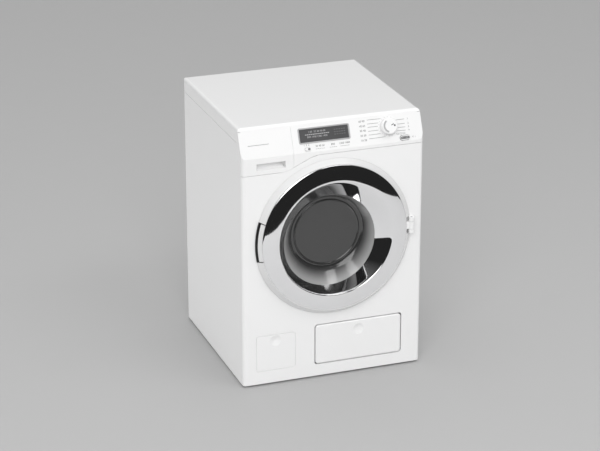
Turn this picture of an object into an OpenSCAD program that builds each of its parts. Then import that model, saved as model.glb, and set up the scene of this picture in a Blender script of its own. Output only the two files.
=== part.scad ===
// Toy front-loading washing machine with a spinning drum, in millimetres.
// +X is right, +Y is back and +Z is up. The origin is the middle of the floor
// rectangle that the machine covers, with its door, so the front faces -Y.

/* [Casing] */
// Width of the cabinet
cab_w = 184; // [176:1:210]
// Depth of the cabinet, without the door
cab_d = 182; // [178:1:220]
// Height of the casing, without the feet
cab_h = 260; // [256:1:290]
// Thickness of the casing shells
wall = 2.4; // [2:0.1:2.8]
// Radius of the upright corners
corner_r = 3.5; // [3:0.1:6]
// Radius of the edges round the top
top_edge_r = 3; // [2.8:0.1:3.4]
// Gap that shows between two casing shells
seam = 0.4; // [0.3:0.05:0.6]
// Depth of the lips that locate one shell in the next
lip_h = 4; // [3:0.5:5]
// Thickness of those lips
lip_t = 1.6; // [1.2:0.1:2]
// Drop of the top cover down the sides
lid_drop = 14; // [12:0.5:18]
// Thickness of the base plate
base_t = 2.6; // [2:0.1:4]
// Height of the feet
foot_h = 2; // [1.5:0.5:4]
// Radius of each foot
foot_r = 7; // [5:0.5:9]
// Distance of each foot from the two nearest outer faces
foot_in = 14; // [12:1:20]

/* [Control panel] */
// Height of the sloping part of the panel
tilt_h = 27.3; // [26:0.5:30]
// Setback of its top edge
tilt_d = 11.9; // [9:0.5:14]
// Height of the rounded edge of the top cover over the panel, along the slope
lid_lip = 3.6; // [3:0.1:4]
// How far the panel wraps round the corners
lap = 3.5; // [3:0.1:5]
// Distance of the high part of the lower seam from the top
seam_hi_drop = 30.5; // [29:0.5:32]
// Distance of its low part from the top
seam_lo_drop = 43.8; // [42:0.5:46]
// Distance from the left side to the start of the seam's curve
seam_start = 39; // [36:1:42]
// Length of that curve
seam_run = 40; // [30:1:44]

/* [Display and keys] */
// Width of the dark display window
window_w = 49; // [40:1:52]
// Height of that window, along the slope
window_h = 12.3; // [10:0.5:13]
// Distance of its middle from the drawer front
window_in = 32.7; // [29:0.1:36]
// Distance of its middle from the lower fold, along the slope
window_v = 15.9; // [15:0.1:17]
// Width of the raised rim round the window
rim_w = 1.4; // [1:0.1:1.8]
// How far the rim stands proud
rim_stand = 0.5; // [0.3:0.1:0.8]
// Thickness of the window
window_t = 1.2; // [1:0.1:1.5]
// Radius of the programme dial
dial_r = 8; // [7:0.5:8.5]
// Height of the dial above the panel
dial_h = 6; // [4:0.5:8]
// Distance of the dial's axis from the right side
dial_in = 34.6; // [32:0.5:36]
// Distance of its axis from the lower fold, along the slope
dial_v = 15.7; // [14:0.1:17]
// Radius of the dial's stem
stem_r = 3; // [2.5:0.1:3.4]
// Length and width of the on and off key
power_key = [10, 4.5]; // [4:0.1:10.5]
// Distance of its middle from the right side
power_in = 18.8; // [16:0.5:20]
// Length and width of the start key
start_key_size = [5.8, 3]; // [2.6:0.1:7]
// Distance of its middle from the drawer front
start_in = 14.7; // [13:0.1:17]
// Distance of both keys from the lower fold, along the slope
key_v = 3.2; // [3:0.1:3.6]
// How far the keys stand proud
key_stand = 0.8; // [0.5:0.1:1.5]
// Travel of the keys
key_travel = 1; // [0.6:0.1:1.2]
// Gap round each key
key_gap = 0.3; // [0.25:0.05:0.5]
// Distance of the circuit board behind the face of the panel
board_back = 9; // [8:0.5:11]
// Thickness of the board
board_t = 1.6; // [1:0.1:2]

/* [Door] */
// Height of the door's centre above the lower edge of the casing
door_up = 144.9; // [142:0.5:148]
// Outer radius of the door
door_r = 79.2; // [78:0.1:80.5]
// How far the door stands proud of the cabinet
door_stand = 9; // [8.6:0.1:11]
// How far the outer edge of the bright ring stands proud
ring_stand = 6.2; // [5.8:0.1:6.8]
// Outer radius of the bright ring
ring_r = 74; // [73:0.1:75]
// Radius of the inner lip of the bright ring
lip_r = 56; // [54:0.1:57]
// Rounding of that lip
lip_round = 2.5; // [2:0.1:2.8]
// Slope of the ring's face next to the lip, in degrees
face_lean = 5; // [3:0.5:7]
// Thickness of the bright ring
ring_t = 1.6; // [1.2:0.1:2]
// Width of the foot under its outer edge
ring_foot = 2; // [1.5:0.1:3]
// Radius of the screw bosses behind it
boss_r = 2.2; // [1.8:0.1:2.3]
// Radius of the far end of the door's funnel
funnel_r = 46.6; // [45.5:0.1:47.5]
// Depth of that end behind the front of the cabinet
funnel_in = 4.5; // [3.5:0.5:6]
// How far its centre lies off the door's centre
funnel_drop = 5.8; // [4:0.1:6.4]
// Radius of the floor of the glass bowl
bowl_r = 36.4; // [34:0.1:38]
// Depth of that floor behind the front of the cabinet
bowl_in = 17; // [15:0.5:19]
// How far its centre lies off the door's centre
bowl_drop = 2; // [0:0.1:3]
// Angle of both from straight down, towards the handle
drop_turn = 20; // [0:1:40]
// Thickness of the glass
glass_t = 1.8; // [1.4:0.1:2]
// Gap between the closed door and the cabinet
door_gap = 0.5; // [0.4:0.05:0.7]
// Angle of the middle of the handle, anticlockwise from the right
handle_at = 177; // [173:1:181]
// Angle that the handle takes up
handle_wide = 30; // [24:1:34]
// Height of the finger gap behind the handle
finger_gap = 3; // [2.5:0.1:3.4]
// Number of screws in the door
door_screw_count = 6; // [5:1:8]
// Height of the hinge's centre above the door's centre
hinge_up = 3; // [0:0.5:6]
// Height of the whole hinge
hinge_h = 16; // [14:1:22]
// Distance of the hinge pin in front of the cabinet
hinge_out = 4.7; // [4.6:0.1:5]
// Radius of the hinge pin
hinge_pin_r = 1.2; // [1:0.1:1.4]
// Play between a turning piece and its pin or shaft
run_fit = 0.05; // [0.02:0.01:0.1]

/* [Drum and drive] */
// Radius of the drum, outside
drum_r = 70; // [66:0.5:71]
// Thickness of the drum's wall
drum_t = 1.5; // [1.2:0.1:2]
// Length of the drum
drum_l = 93; // [85:1:94]
// Distance from the front of the cabinet to the drum
drum_in = 35; // [34:0.5:36]
// Radius of the drum's mouth
mouth_r = 58; // [54:0.5:60]
// Radius of the holes in the drum
hole_r = 2; // [1.5:0.1:2.5]
// Number of holes round the drum
hole_count = 18; // [12:3:24]
// Number of rows of holes
hole_rows = 3; // [2:1:4]
// Number of paddles in the drum
paddle_count = 3; // [3:1:4]
// Height of a paddle
paddle_h = 14; // [10:0.5:18]
// Width of a paddle at its foot
paddle_w = 22; // [16:1:26]
// Gap between drum and tub
tub_gap = 5; // [4:0.5:6]
// Thickness of the tub
tub_t = 2; // [1.6:0.1:2.4]
// Radius of the hole in the front of the tub
tub_mouth_r = 61; // [60.5:0.5:62]
// Radius of the drum's shaft
shaft_r = 4; // [3:0.5:5]
// Thickness of the bearing bush
bush_t = 3; // [2:0.5:4]
// Length of the bush
bush_l = 15; // [12:1:16]
// Free play of the drum along its shaft, at each end of the bush
end_play = 0.5; // [0.3:0.1:0.8]
// Radius of the drum's pulley, under the belt
pulley_r = 38; // [34:0.5:42]
// Radius of the motor's pulley, under the belt
drive_r = 7; // [6:0.5:9]
// Width of the belt
belt_w = 4; // [3:0.5:5]
// Thickness of the belt
belt_t = 1.4; // [1:0.1:1.8]
// Gap between the belt and what it runs on
belt_gap = 0.2; // [0.15:0.05:0.3]
// Height of the pulley flanges over the face under the belt
flange_h = 2; // [1.5:0.1:2.5]
// Thickness of a pulley flange
flange_t = 0.8; // [0.6:0.1:1.2]
// Radius of the motor
motor_r = 14; // [12:0.5:15]
// Length of the motor
motor_l = 34; // [28:1:36]
// Radius of the motor's shaft
motor_shaft_r = 1.5; // [1:0.1:2]
// Distance of the motor's axis from the centre line, to the right
motor_x = 42; // [38:1:48]
// Height of the motor's axis above the base plate
motor_up = 40; // [36:1:44]
// Thickness of brackets and cradles
bracket_t = 3; // [2:0.5:4]
// How far the motor's bracket reaches past the motor at each side
bracket_side = 4; // [2:0.5:6]
// Length of that bracket's foot
bracket_foot = 14; // [10:1:20]
// Depth of the motor's shaft in the motor
shaft_seat = 10; // [8:1:14]
// Width of the collar round that shaft
collar_w = 3; // [2:0.5:4]

/* [Drawer] */
// Width of the drawer front, from the left side
drawer_w = 51.8; // [50:0.2:54]
// Width of the tray
tray_w = 40; // [36:1:42]
// Depth of the tray, from front to back
tray_l = 68; // [60:1:80]
// Height of the tray
tray_h = 15; // [13:0.5:16]
// Wall of the tray and its housing
tray_t = 1.4; // [1.2:0.1:1.6]
// Gap round the tray
tray_gap = 0.4; // [0.3:0.05:0.6]
// Travel of the drawer
drawer_travel = 50; // [40:1:52]
// Width, height and depth of the finger recess in the drawer front
recess = [29, 6.5, 7]; // [6:0.5:30]
// Distance from the left side to the recess
recess_in = 15; // [14:0.5:17]
// Distance of the recess above the drawer front's lower edge
recess_up = 4.4; // [4:0.1:5]
// Radius of the hose from the drawer to the tub
fill_r = 5; // [4:0.5:6]

/* [Service flap] */
// Width of the flap
flap_w = 89; // [84:0.5:92]
// Height of the flap
flap_h = 40.6; // [38:0.2:44]
// Distance of the flap from the right side
flap_in = 20.8; // [18:0.2:24]
// Distance of the flap above the lower edge of the casing
flap_up = 12.9; // [12.5:0.1:15]
// Gap round the flap
flap_gap = 1; // [0.9:0.1:1.2]
// Radius of the flap's corners
flap_corner_r = 3; // [2:0.5:5]
// How far the flap stands proud
flap_stand = 0.6; // [0.4:0.1:0.8]
// Radius of the flap's hinge pins
flap_pin_r = 1; // [0.8:0.1:1.1]
// Width of the round press mark in the flap and the dummy panel
dimple_w = 11; // [9:0.5:14]
// Depth of that mark
dimple_d = 1.2; // [0.8:0.1:1.4]
// Depth of the compartment behind the flap
niche_d = 28; // [24:1:30]
// Radius of the filter cap
cap_r = 15; // [13:0.5:16]
// Radius of the cap's plug
plug_r = 9; // [8:0.5:10]
// Radius of the drain hose
drain_r = 6; // [5:0.5:7]
// Width and height of the dummy panel at the left
dummy = [41.1, 38.1]; // [36:0.1:42]
// Distance from the left side to the dummy panel
dummy_in = 12.7; // [11:0.1:15]
// Width and depth of the groove round it
groove = [1, 0.8]; // [0.6:0.1:1.2]

/* [Back] */
// Length of a battery
cell_l = 50.5; // [44:0.5:51]
// Diameter of a battery
cell_w = 14.5; // [10.5:0.5:15]
// Number of batteries
cell_count = 4; // [3:1:4]
// Wall of the battery box
box_t = 1.6; // [1.2:0.1:2]
// Radius of the loudspeaker
speaker_r = 20; // [16:0.5:22]
// Distance of its middle from the left side
speaker_in = 47; // [44:1:60]
// Distance of its middle below the top
speaker_drop = 66; // [50:1:80]
// Width and thickness of its rim
speaker_rim = 2; // [1.5:0.1:3]
// Depth of the loudspeaker
speaker_l = 12; // [8:0.5:14]
// Radius of the screws' shanks
screw_r = 1.2; // [1:0.1:1.4]
// Radius of the screws' heads
head_r = 2.6; // [2.2:0.1:3]
// Thickness of the screws' heads
head_t = 1.2; // [1:0.1:1.5]
// Length of a casing screw, under its head
screw_l = 9; // [7:0.5:10]

/* [Hidden] */
$fn = 96;

// How far a cutting shape runs past what it cuts
past = 1;
// Overlap of two shapes that are joined
thin = 0.01;

// The casing's outer faces
side_x = cab_w / 2;
front_y = -cab_d / 2 + door_stand / 2;
back_y = front_y + cab_d;
z_low = foot_h;
z_top = foot_h + cab_h;
z_floor = z_low + base_t;
z_lid = z_top - lid_drop;
drawer_x = -side_x + drawer_w;

// The sloping panel: its angle, its lower fold and its length
tilt = atan(tilt_d / tilt_h);
z_fold = z_top - tilt_h;
slope_l = norm([tilt_d, tilt_h]);
panel_v = slope_l - lid_lip;
z_seam_hi = z_top - seam_hi_drop;
z_seam_lo = z_top - seam_lo_drop;
seam_x0 = -side_x + seam_start;
seam_x1 = seam_x0 + seam_run;

// Height of the seam under the panel, level at both ends with a smooth curve between
function smooth(t) = t * t * (3 - 2 * t);
function seam_z(x) = z_seam_lo
    + (z_seam_hi - z_seam_lo) * smooth(min(1, max(0, (x - seam_x0) / seam_run)));
// Depth and height of a point of the panel, v along the slope and n out of it
function panel_yz(v, n) = [front_y + v * sin(tilt) - n * cos(tilt),
    z_fold + v * cos(tilt) + n * sin(tilt)];

// The keys, the dial and the display
window_x = drawer_x + window_in;
start_x = drawer_x + start_in;
dial_x = side_x - dial_in;
power_x = side_x - power_in;
flange_w = 1;
stem_end = board_back - 2;
dial_gap = 0.4;
switch_h = board_back - wall - key_gap - flange_w - key_travel - key_gap;
post_r = 2;
lip_up = 1;
board_x = [-side_x + drawer_w + 4, side_x - 8];
board_v = [0.5, panel_v - 4];

// The door: depths are heights over the front of the cabinet, so inside is negative.
// The lip's rounding turns by lip_turn and then runs on into the funnel.
lip_turn = 25;
handle_span = [handle_at - handle_wide / 2, handle_at + handle_wide / 2];
handle_end = 0.8;
recess_t = 0.8;
door_z = z_low + door_up;
crown_r = lip_r + lip_round;
face_w = ring_r - crown_r;
face_bow = (door_stand - ring_stand - tan(face_lean) * face_w) / pow(face_w, 2);
base_top = door_gap + 2;
flange_top = door_gap + 3;
clamp_top = door_gap + 1.2;
funnel_top = door_stand - lip_round * (1 - cos(lip_turn));
neck_r = crown_r - lip_round * sin(lip_turn);
fit = 0.2;
function face_p(r) = door_stand - tan(face_lean) * (r - crown_r) - face_bow * pow(r - crown_r, 2);
function funnel_s(p) = (funnel_top - p) / (funnel_top + funnel_in);
function funnel_r_at(p) = neck_r + (funnel_r - neck_r) * funnel_s(p);
function funnel_c_at(p) = -funnel_drop * funnel_s(p);
sleeve_r = lip_r + ring_t + fit + glass_t;
clamp_in_r = sleeve_r + fit;
clamp_r = ring_r - 4 - fit;
glass_flange_r = clamp_r - 1.6;
door_screw_r = (clamp_in_r + clamp_r) / 2;
seal_lap = 3.5;
seal_r = glass_flange_r - seal_lap;
seal_t = 2.4;
opening_r = seal_r + seal_t;
hinge_x = door_r - 0.2;
hinge_z = door_z + hinge_up;
knuckle_r = hinge_pin_r + 1.5;
hinge_play = 0.3;
knuckle_h = hinge_h / 2 - 2 * hinge_play;
hinge_clear = 0.5;
lug_h = (hinge_h - knuckle_h) / 2 - hinge_play;
lug_z = (hinge_h - lug_h) / 2;
arm_x = hinge_x - knuckle_r - 1.4;
hook_x = -(ring_r - 2);
hook_w = 2.4;
hook_h = 6;
hook_in = 7;
hook_gap = 0.6;

// The drum and its drive: the same depths, negative inside
tub_in = drum_in - tub_gap - tub_t;
drum_end = drum_in + drum_l;
tub_r = drum_r + tub_gap + tub_t;
tub_end = drum_end + tub_gap + tub_t;
tub_split = tub_in + (tub_end - tub_in) / 2;
bush_in = drum_end + 1.5 + end_play;
bush_r = shaft_r + run_fit + bush_t;
hub_wall = 3;
hub_rim = 2;
hub_h = 4;
paddle_top = 5;
paddle_gap = 3;
bush_out = bush_in + bush_l;
pulley_in = bush_out + end_play;
groove_w = belt_w + 2 * belt_gap;
pulley_w = groove_w + 2 * flange_t;
pulley_hub = 3;
pulley_out = pulley_in + pulley_hub + pulley_w;
belt_in = pulley_in + pulley_hub + flange_t + belt_gap;
motor_z = z_floor + motor_up;
motor_end = pulley_in + pulley_hub - bracket_t - 1.6;
motor_in = motor_end - motor_l;
shaft_reach = norm([motor_x, door_z - motor_z]);
belt_a = asin((pulley_r - drive_r) / shaft_reach);
drive_angle = atan2(motor_z - door_z, motor_x);

// The drawer
front_back = recess[2] + tray_t;
tray_x = [drawer_x - 4 - tray_w, drawer_x - 4];
housing_z = z_seam_lo + seam;
tray_z = housing_z + tray_t + tray_gap;
tray_y = front_y + front_back;
housing_y = [front_y + wall + 3, tray_y + tray_l + tray_gap + tray_t];
recess_x = -side_x + recess_in;
recess_z = z_seam_lo + recess_up;
fill_y = front_y + tub_split - fill_r - 6;
fill_x = tray_x[0] + tray_w / 2;

// The flap, its compartment and the drain behind it
flap_x = [side_x - flap_in - flap_w, side_x - flap_in];
flap_z = z_low + flap_up;
flap_mid = (flap_x[0] + flap_x[1]) / 2;
flap_pin_in = flap_pin_r + 0.7;
flap_pin_z = flap_z + flap_pin_r + 1.1;
flap_rim = flap_pin_in + flap_pin_r + 0.7;
boss_w = 5;
niche_x = [flap_x[0] - flap_gap - boss_w - 1, flap_x[1] + flap_gap + boss_w + 1];
niche_z = [flap_z - flap_gap - 0.5, flap_z + flap_h + flap_gap + 1];
niche_t = 1.6;
cap_z = flap_z + flap_h / 2;
cap_in = 10;
cap_h = 8;
grip_h = 6;
grip_w = 5;
grip_in = 2;
plug_l = 12;
sump_in = wall + niche_d + niche_t;
sump_l = 18;
drain_x = flap_mid;
drain_in = sump_in + sump_l / 2;
dimple_up = flap_h - dimple_w + 1.5;
dummy_x = -side_x + dummy_in;

// The back
box_x = [-side_x + 20, -side_x + 20 + cell_count * cell_w + 2 * box_t + 2];
box_z = [z_floor + 10, z_floor + 10 + cell_l + 2 * box_t + 7];
box_d = cell_w + 1;
door_lap = 4;
panel_fit = 0.2;
door_x = [box_x[0] + box_t - door_lap + 0.3, box_x[1] - box_t + door_lap - 0.3];
door_h = [box_z[0] + box_t - door_lap + 0.3, box_z[1] - box_t + door_lap - 0.3];
lock_x = (door_x[0] + door_x[1]) / 2;
lock_z = door_h[1] - door_lap / 2 + 0.2;
speaker_x = -side_x + speaker_in;
speaker_z = z_top - speaker_drop;
post_w = 7;
post_d = 9;
screw_rows = [z_floor + 14, (z_floor + z_lid) / 2, z_lid - 18];
base_screws = [for (x = [-1, 1], y = [front_y + wall + 5, back_y - wall - 5])
    [x * (side_x - wall - post_w / 2), y]];

// A bar along Z between two heights, and a ring of the same kind
module rod(r, lo, hi) { translate([0, 0, lo]) cylinder(r = r, h = hi - lo); }
module ring(r_out, r_in, lo, hi) {
    difference() {
        rod(r_out, lo, hi);
        rod(r_in, lo - past, hi + past);
    }
}
// A box between two limits on each axis
module block(x, y, z) {
    translate([x[0], y[0], z[0]]) cube([x[1] - x[0], y[1] - y[0], z[1] - z[0]]);
}
// A rectangle with round corners
module round_rect(lo, hi, r) {
    translate([lo[0] + r, lo[1]]) square([hi[0] - lo[0] - 2 * r, hi[1] - lo[1]]);
    translate([lo[0], lo[1] + r]) square([hi[0] - lo[0], hi[1] - lo[1] - 2 * r]);
    for (x = [lo[0] + r, hi[0] - r], y = [lo[1] + r, hi[1] - r]) translate([x, y]) circle(r);
}
// A slot with round ends, centred
module slot(l, w) {
    square([l - w, w], center = true);
    for (s = [-1, 1]) translate([s * (l - w) / 2, 0]) circle(w / 2);
}
// Places a shape on the front of the cabinet, with its Z pointing out of it
module on_front(x, z) { translate([x, front_y, z]) rotate([90, 0, 0]) children(); }
// Places a shape on the sloping panel in the same way
module on_panel(x, v) {
    yz = panel_yz(v, 0);
    translate([x, yz[0], yz[1]]) rotate([90 - tilt, 0, 0]) children();
}
// Extrudes a profile of depth and height across the whole width
module across(w) { translate([-w / 2, 0, 0]) rotate([90, 0, 90]) linear_extrude(w) children(); }
// Extrudes a profile of width and height through the whole depth
module through() {
    translate([0, back_y + 2 * past, 0]) rotate([90, 0, 0]) linear_extrude(cab_d + 4 * past) children();
}
// A wedge of a circle between two angles
module sector(a0, a1, r, lo, hi) {
    translate([0, 0, lo]) linear_extrude(hi - lo)
        polygon(concat([[0, 0]], [for (i = [0:8]) let (a = a0 + (a1 - a0) * i / 8) r * [cos(a), sin(a)]]));
}
// A leaning cone from a circle at height p0 down to one at p1, with centres c0 and c1
module blend(r0, p0, c0, r1, p1, c1) {
    lean = (c0 - c1) / (p0 - p1);
    rotate([0, 0, -drop_turn]) multmatrix([[1, 0, 0, 0], [0, 1, lean, c1 - lean * p1], [0, 0, 1, 0]])
        translate([0, 0, p1]) cylinder(r1 = r1, r2 = r0, h = p0 - p1, $fn = 144);
}

// The casing's outline, drawn in by g, as a plan, a side view and a front view
module plan_2d(g, far) {
    round_rect([-side_x + g, front_y + g], [side_x - g, far], max(corner_r - g, 0.4));
}
module side_2d(g, far) {
    k = max(top_edge_r, g + 0.2);
    r = k - g;
    y = front_y + tilt_d + k * (1 - sin(tilt)) / cos(tilt);
    polygon([[front_y + g, z_low - past], [far, z_low - past], [far, z_top - k], [far - r, z_top - g],
        [y, z_top - g], [y - r * cos(tilt), z_top - k + r * sin(tilt)],
        [front_y + g, z_fold - g * tan(tilt / 2)]]);
    translate([y, z_top - k]) circle(r);
    translate([far - r, z_top - k]) circle(r);
}
module face_2d(g) {
    k = max(top_edge_r, g + 0.2);
    r = k - g;
    polygon([[-side_x + g, z_low - past], [side_x - g, z_low - past], [side_x - g, z_top - k],
        [side_x - k, z_top - g], [-side_x + k, z_top - g], [-side_x + g, z_top - k]]);
    for (s = [-1, 1]) translate([s * (side_x - k), z_top - k]) circle(r);
}
// The solid casing, drawn in by g, from a height up, as far back as far
module casing(g, low, far) {
    intersection() {
        translate([0, 0, low]) linear_extrude(z_top - low) plan_2d(g, far);
        across(cab_w) side_2d(g, far);
        through() face_2d(g);
    }
}
// The region of the panel, its edge moved out by g
module panel_zone(g) {
    a = panel_yz(panel_v + g, -lap - g);
    b = panel_yz(panel_v + g, 3 * past);
    across(cab_w + 2 * past) polygon([[front_y - 3 * past, z_seam_lo - 2 * past - g],
        [front_y + lap + g, z_seam_lo - 2 * past - g],
        [front_y + lap + g, z_fold - (lap + g) * tan(tilt / 2)], a, b, [front_y - 3 * past, z_fold]]);
}
// All that lies over the seam under the panel, lowered by g, between two sides
module over_seam(g, x0, x1) {
    n = 24;
    through() polygon(concat([[x1, z_top + past], [x0, z_top + past]],
        [for (i = [0:n]) let (x = x0 + (x1 - x0) * i / n) [x, seam_z(x) - g]]));
}
module seam_strip(up, down, x0, x1) {
    difference() {
        over_seam(down, x0, x1);
        over_seam(-up, x0 - past, x1 + past);
    }
}
// The shell of the casing
module shell(low) {
    difference() {
        casing(0, low, back_y);
        casing(wall, low - past, back_y - wall);
    }
}

module cabinet() {
    color("whitesmoke") difference() {
        union() {
            difference() {
                casing(0, z_low, back_y);
                casing(wall, z_low - past, back_y + past);
            }
            for (s = [-1, 1]) block(s > 0 ? [side_x - wall - post_w, side_x - wall] :
                [-side_x + wall, -side_x + wall + post_w],
                [back_y - wall - post_d, back_y - wall], [z_floor, z_lid - lip_h - seam]);
            for (x = [-1, 1]) translate([x * (side_x - wall - post_w / 2), 0, 0])
                block([-post_w / 2, post_w / 2], [front_y + wall - past, front_y + wall + post_d],
                    [z_floor, z_floor + 12]);
            for (x = [flap_x[0] - flap_gap - boss_w, flap_x[1] + flap_gap])
                block([x, x + boss_w], [front_y + wall / 2, front_y + flap_rim + 1],
                    [flap_z - flap_gap, flap_pin_z + 4]);
        }
        block([-cab_w, cab_w], [front_y - past, back_y + past], [z_lid - seam, z_top + past]);
        intersection() {
            panel_zone(seam);
            over_seam(seam, -side_x - 2 * past, side_x + 2 * past);
        }
        on_front(0, door_z) rod(opening_r, -wall - past, past);
        on_front(0, 0) translate([0, 0, -wall - past]) linear_extrude(wall + 2 * past)
            round_rect([flap_x[0] - flap_gap, flap_z - flap_gap],
                [flap_x[1] + flap_gap, flap_z + flap_h + flap_gap], flap_corner_r);
        dummy_groove();
        on_front(dummy_x + dummy[0] / 2, flap_z + dimple_up) dimple();
        hook_slot();
        for (x = [-1, 1]) on_front(hinge_x, hinge_z + x * lug_z) rod(screw_r, -wall - past, past);
        flap_bores();
        rear_screw_holes(screw_l);
        for (p = base_screws) translate(p) rod(screw_r, z_low, z_floor + screw_l);
    }
}
module dummy_groove() {
    on_front(0, 0) translate([0, 0, -groove[1]]) linear_extrude(groove[1] + past) difference() {
        round_rect([dummy_x, flap_z], [dummy_x + dummy[0], flap_z + dummy[1]], flap_corner_r);
        round_rect([dummy_x + groove[0], flap_z + groove[0]],
            [dummy_x + dummy[0] - groove[0], flap_z + dummy[1] - groove[0]], flap_corner_r - groove[0]);
    }
}
// A shallow round hollow, cut by a ball
module dimple() {
    ball = (pow(dimple_w / 2, 2) + pow(dimple_d, 2)) / (2 * dimple_d);
    translate([0, 0, ball - dimple_d]) sphere(ball);
}
module hook_slot() {
    on_front(hook_x, door_z) translate([0, 0, -wall - past]) linear_extrude(wall + 2 * past)
        square([hook_w + 4 * hook_gap, hook_h + 2 * hook_gap], center = true);
}
module flap_bores() {
    for (x = [flap_x[0] - flap_gap - boss_w - past, flap_x[1] + flap_gap - past])
        translate([x, front_y + flap_pin_in, flap_pin_z]) rotate([0, 90, 0])
            cylinder(r = flap_pin_r + run_fit, h = boss_w + 2 * past);
}
module rear_screw_holes(depth) {
    for (x = [-1, 1], z = screw_rows)
        translate([x * (side_x - wall - post_w / 2), back_y + past, z]) rotate([90, 0, 0])
            cylinder(r = screw_r, h = depth + past);
}

module top_cover() {
    color("white") union() {
        difference() {
            shell(z_lid);
            panel_zone(seam);
        }
        // Lips that slide down inside the cabinet's sides
        for (s = [-1, 1]) block(s > 0 ? [side_x - wall - lip_t, side_x - wall] :
            [-side_x + wall, -side_x + wall + lip_t],
            [front_y + lap + tilt_d + 4, back_y - wall - post_d - 2], [z_lid - lip_h, z_lid + wall]);
        // A lip that holds the top of the rear panel
        block([-side_x + wall + post_w, side_x - wall - post_w],
            [back_y - wall - lip_t, back_y - wall], [z_lid - lip_h, z_lid + wall]);
    }
}

module rear_panel() {
    color("whitesmoke") difference() {
        block([-side_x + wall + panel_fit, side_x - wall - panel_fit], [back_y - wall, back_y],
            [z_floor, z_lid - seam]);
        rear_screw_holes(wall + past);
        for (x = [-1, 1], z = screw_rows)
            translate([x * (side_x - wall - post_w / 2), back_y - head_t, z]) rotate([-90, 0, 0])
                cylinder(r = head_r + panel_fit, h = wall);
        block([box_x[0] + box_t, box_x[1] - box_t], [back_y - wall - past, back_y + past],
            [box_z[0] + box_t, box_z[1] - box_t]);
        block([box_x[0] + box_t - door_lap, box_x[1] - box_t + door_lap], [back_y - wall / 2, back_y + past],
            [box_z[0] + box_t - door_lap, box_z[1] - box_t + door_lap]);
        lock_hole();
        speaker_slots();
    }
}
module speaker_slots() {
    pitch = (speaker_r - speaker_rim) / 4;
    for (i = [-3:3]) let (l = 2 * sqrt(pow(speaker_r - speaker_rim - 1, 2) - pow(i * pitch, 2)))
        translate([speaker_x, back_y + past, speaker_z + i * pitch]) rotate([90, 0, 0])
            linear_extrude(wall + 2 * past) slot(l, speaker_rim);
}

module base_plate() {
    color("gainsboro") difference() {
        block([-side_x + wall, side_x - wall], [front_y + wall, back_y - panel_fit], [z_low, z_floor]);
        for (p = base_screws) translate(p) {
            rod(screw_r, z_low - past, z_floor + past);
            rod(head_r + panel_fit, z_low - past, z_low + head_t);
        }
        at_feet() rod(foot_r / 2, z_low - past, z_floor + past);
    }
}
module at_feet() {
    for (x = [-1, 1], y = [front_y + foot_in, back_y - foot_in]) translate([x * (side_x - foot_in), y, 0]) children();
}
module feet() {
    color("dimgray") at_feet() {
        rod(foot_r, 0, z_low);
        rod(foot_r / 2, z_low - thin, z_floor);
    }
}
// Screws of the rear panel and of the base plate
module casing_screws() {
    color("silver") {
        for (x = [-1, 1], z = screw_rows)
            translate([x * (side_x - wall - post_w / 2), back_y, z]) rotate([90, 0, 0]) screw(screw_l - head_t);
        for (p = base_screws) translate([p[0], p[1], z_low]) screw(screw_l - head_t);
    }
}
// A screw whose head lies at its origin, with a cross slot
module screw(l) {
    difference() {
        union() {
            rod(head_r, 0, head_t);
            rod(screw_r, head_t - thin, head_t + l);
        }
        for (a = [0, 90]) rotate(a) translate([-head_r * 0.6, -0.3, -past])
            cube([head_r * 1.2, 0.6, past + head_t / 2]);
    }
}

module control_fascia() {
    color("white") difference() {
        union() {
            intersection() {
                shell(z_seam_lo - past);
                panel_zone(0);
                over_seam(0, drawer_x + seam, side_x + past);
            }
            // A lip behind the top of the cabinet's front
            intersection() {
                difference() {
                    casing(wall, z_low, back_y - wall);
                    casing(wall + lip_t, z_low - past, back_y - wall);
                }
                block([drawer_x + 2, side_x - wall - post_w], [front_y, front_y + wall + lip_t],
                    [z_low, z_fold - 1]);
                seam_strip(lip_up, lip_h, drawer_x + 2, side_x - wall - post_w);
            }
            for (x = [board_x[0] + post_r + 0.5, board_x[1] - post_r - 0.5]) on_panel(x, (board_v[0] + board_v[1]) / 2)
                rod(post_r, -board_back, -wall + thin);
        }
        on_panel(window_x, window_v) {
            translate([0, 0, -window_t]) linear_extrude(window_t + past)
                square([window_w, window_h], center = true);
            translate([0, 0, -wall - past]) linear_extrude(wall + 2 * past)
                square([window_w - 3, window_h - 3], center = true);
        }
        on_panel(dial_x, dial_v) rod(stem_r + key_gap, -wall - past, past);
        on_panel(power_x, key_v) key_hole(power_key);
        on_panel(start_x, key_v) key_hole(start_key_size);
    }
}
module key_hole(size) {
    translate([0, 0, -wall - 2 * past]) linear_extrude(wall + 4 * past)
        slot(size[0] + 2 * key_gap, size[1] + 2 * key_gap);
}
module display_rim() {
    color("lightgray") on_panel(window_x, window_v) linear_extrude(rim_stand) difference() {
        square([window_w + 2 * rim_w, window_h + 2 * rim_w], center = true);
        square([window_w, window_h], center = true);
    }
}
module display_window() {
    color("dimgray") on_panel(window_x, window_v) translate([0, 0, -window_t])
        linear_extrude(window_t) square([window_w, window_h], center = true);
}
module display_module() {
    color("darkslategray") on_panel(window_x, window_v) translate([0, 0, -board_back])
        linear_extrude(board_back - wall - 0.4) square([window_w - 5, window_h - 3.4], center = true);
}
module circuit_board() {
    color("darkgreen") on_panel(0, 0) translate([0, 0, -board_back - board_t]) linear_extrude(board_t)
        translate([board_x[0], board_v[0]]) square([board_x[1] - board_x[0], board_v[1] - board_v[0]]);
}
module key_switches() {
    color("black") for (k = [[power_x, power_key], [start_x, start_key_size]])
        on_panel(k[0], key_v) translate([0, 0, -board_back]) linear_extrude(switch_h)
            square([k[1][0] - 1, k[1][1] - 0.5], center = true);
}
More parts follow.
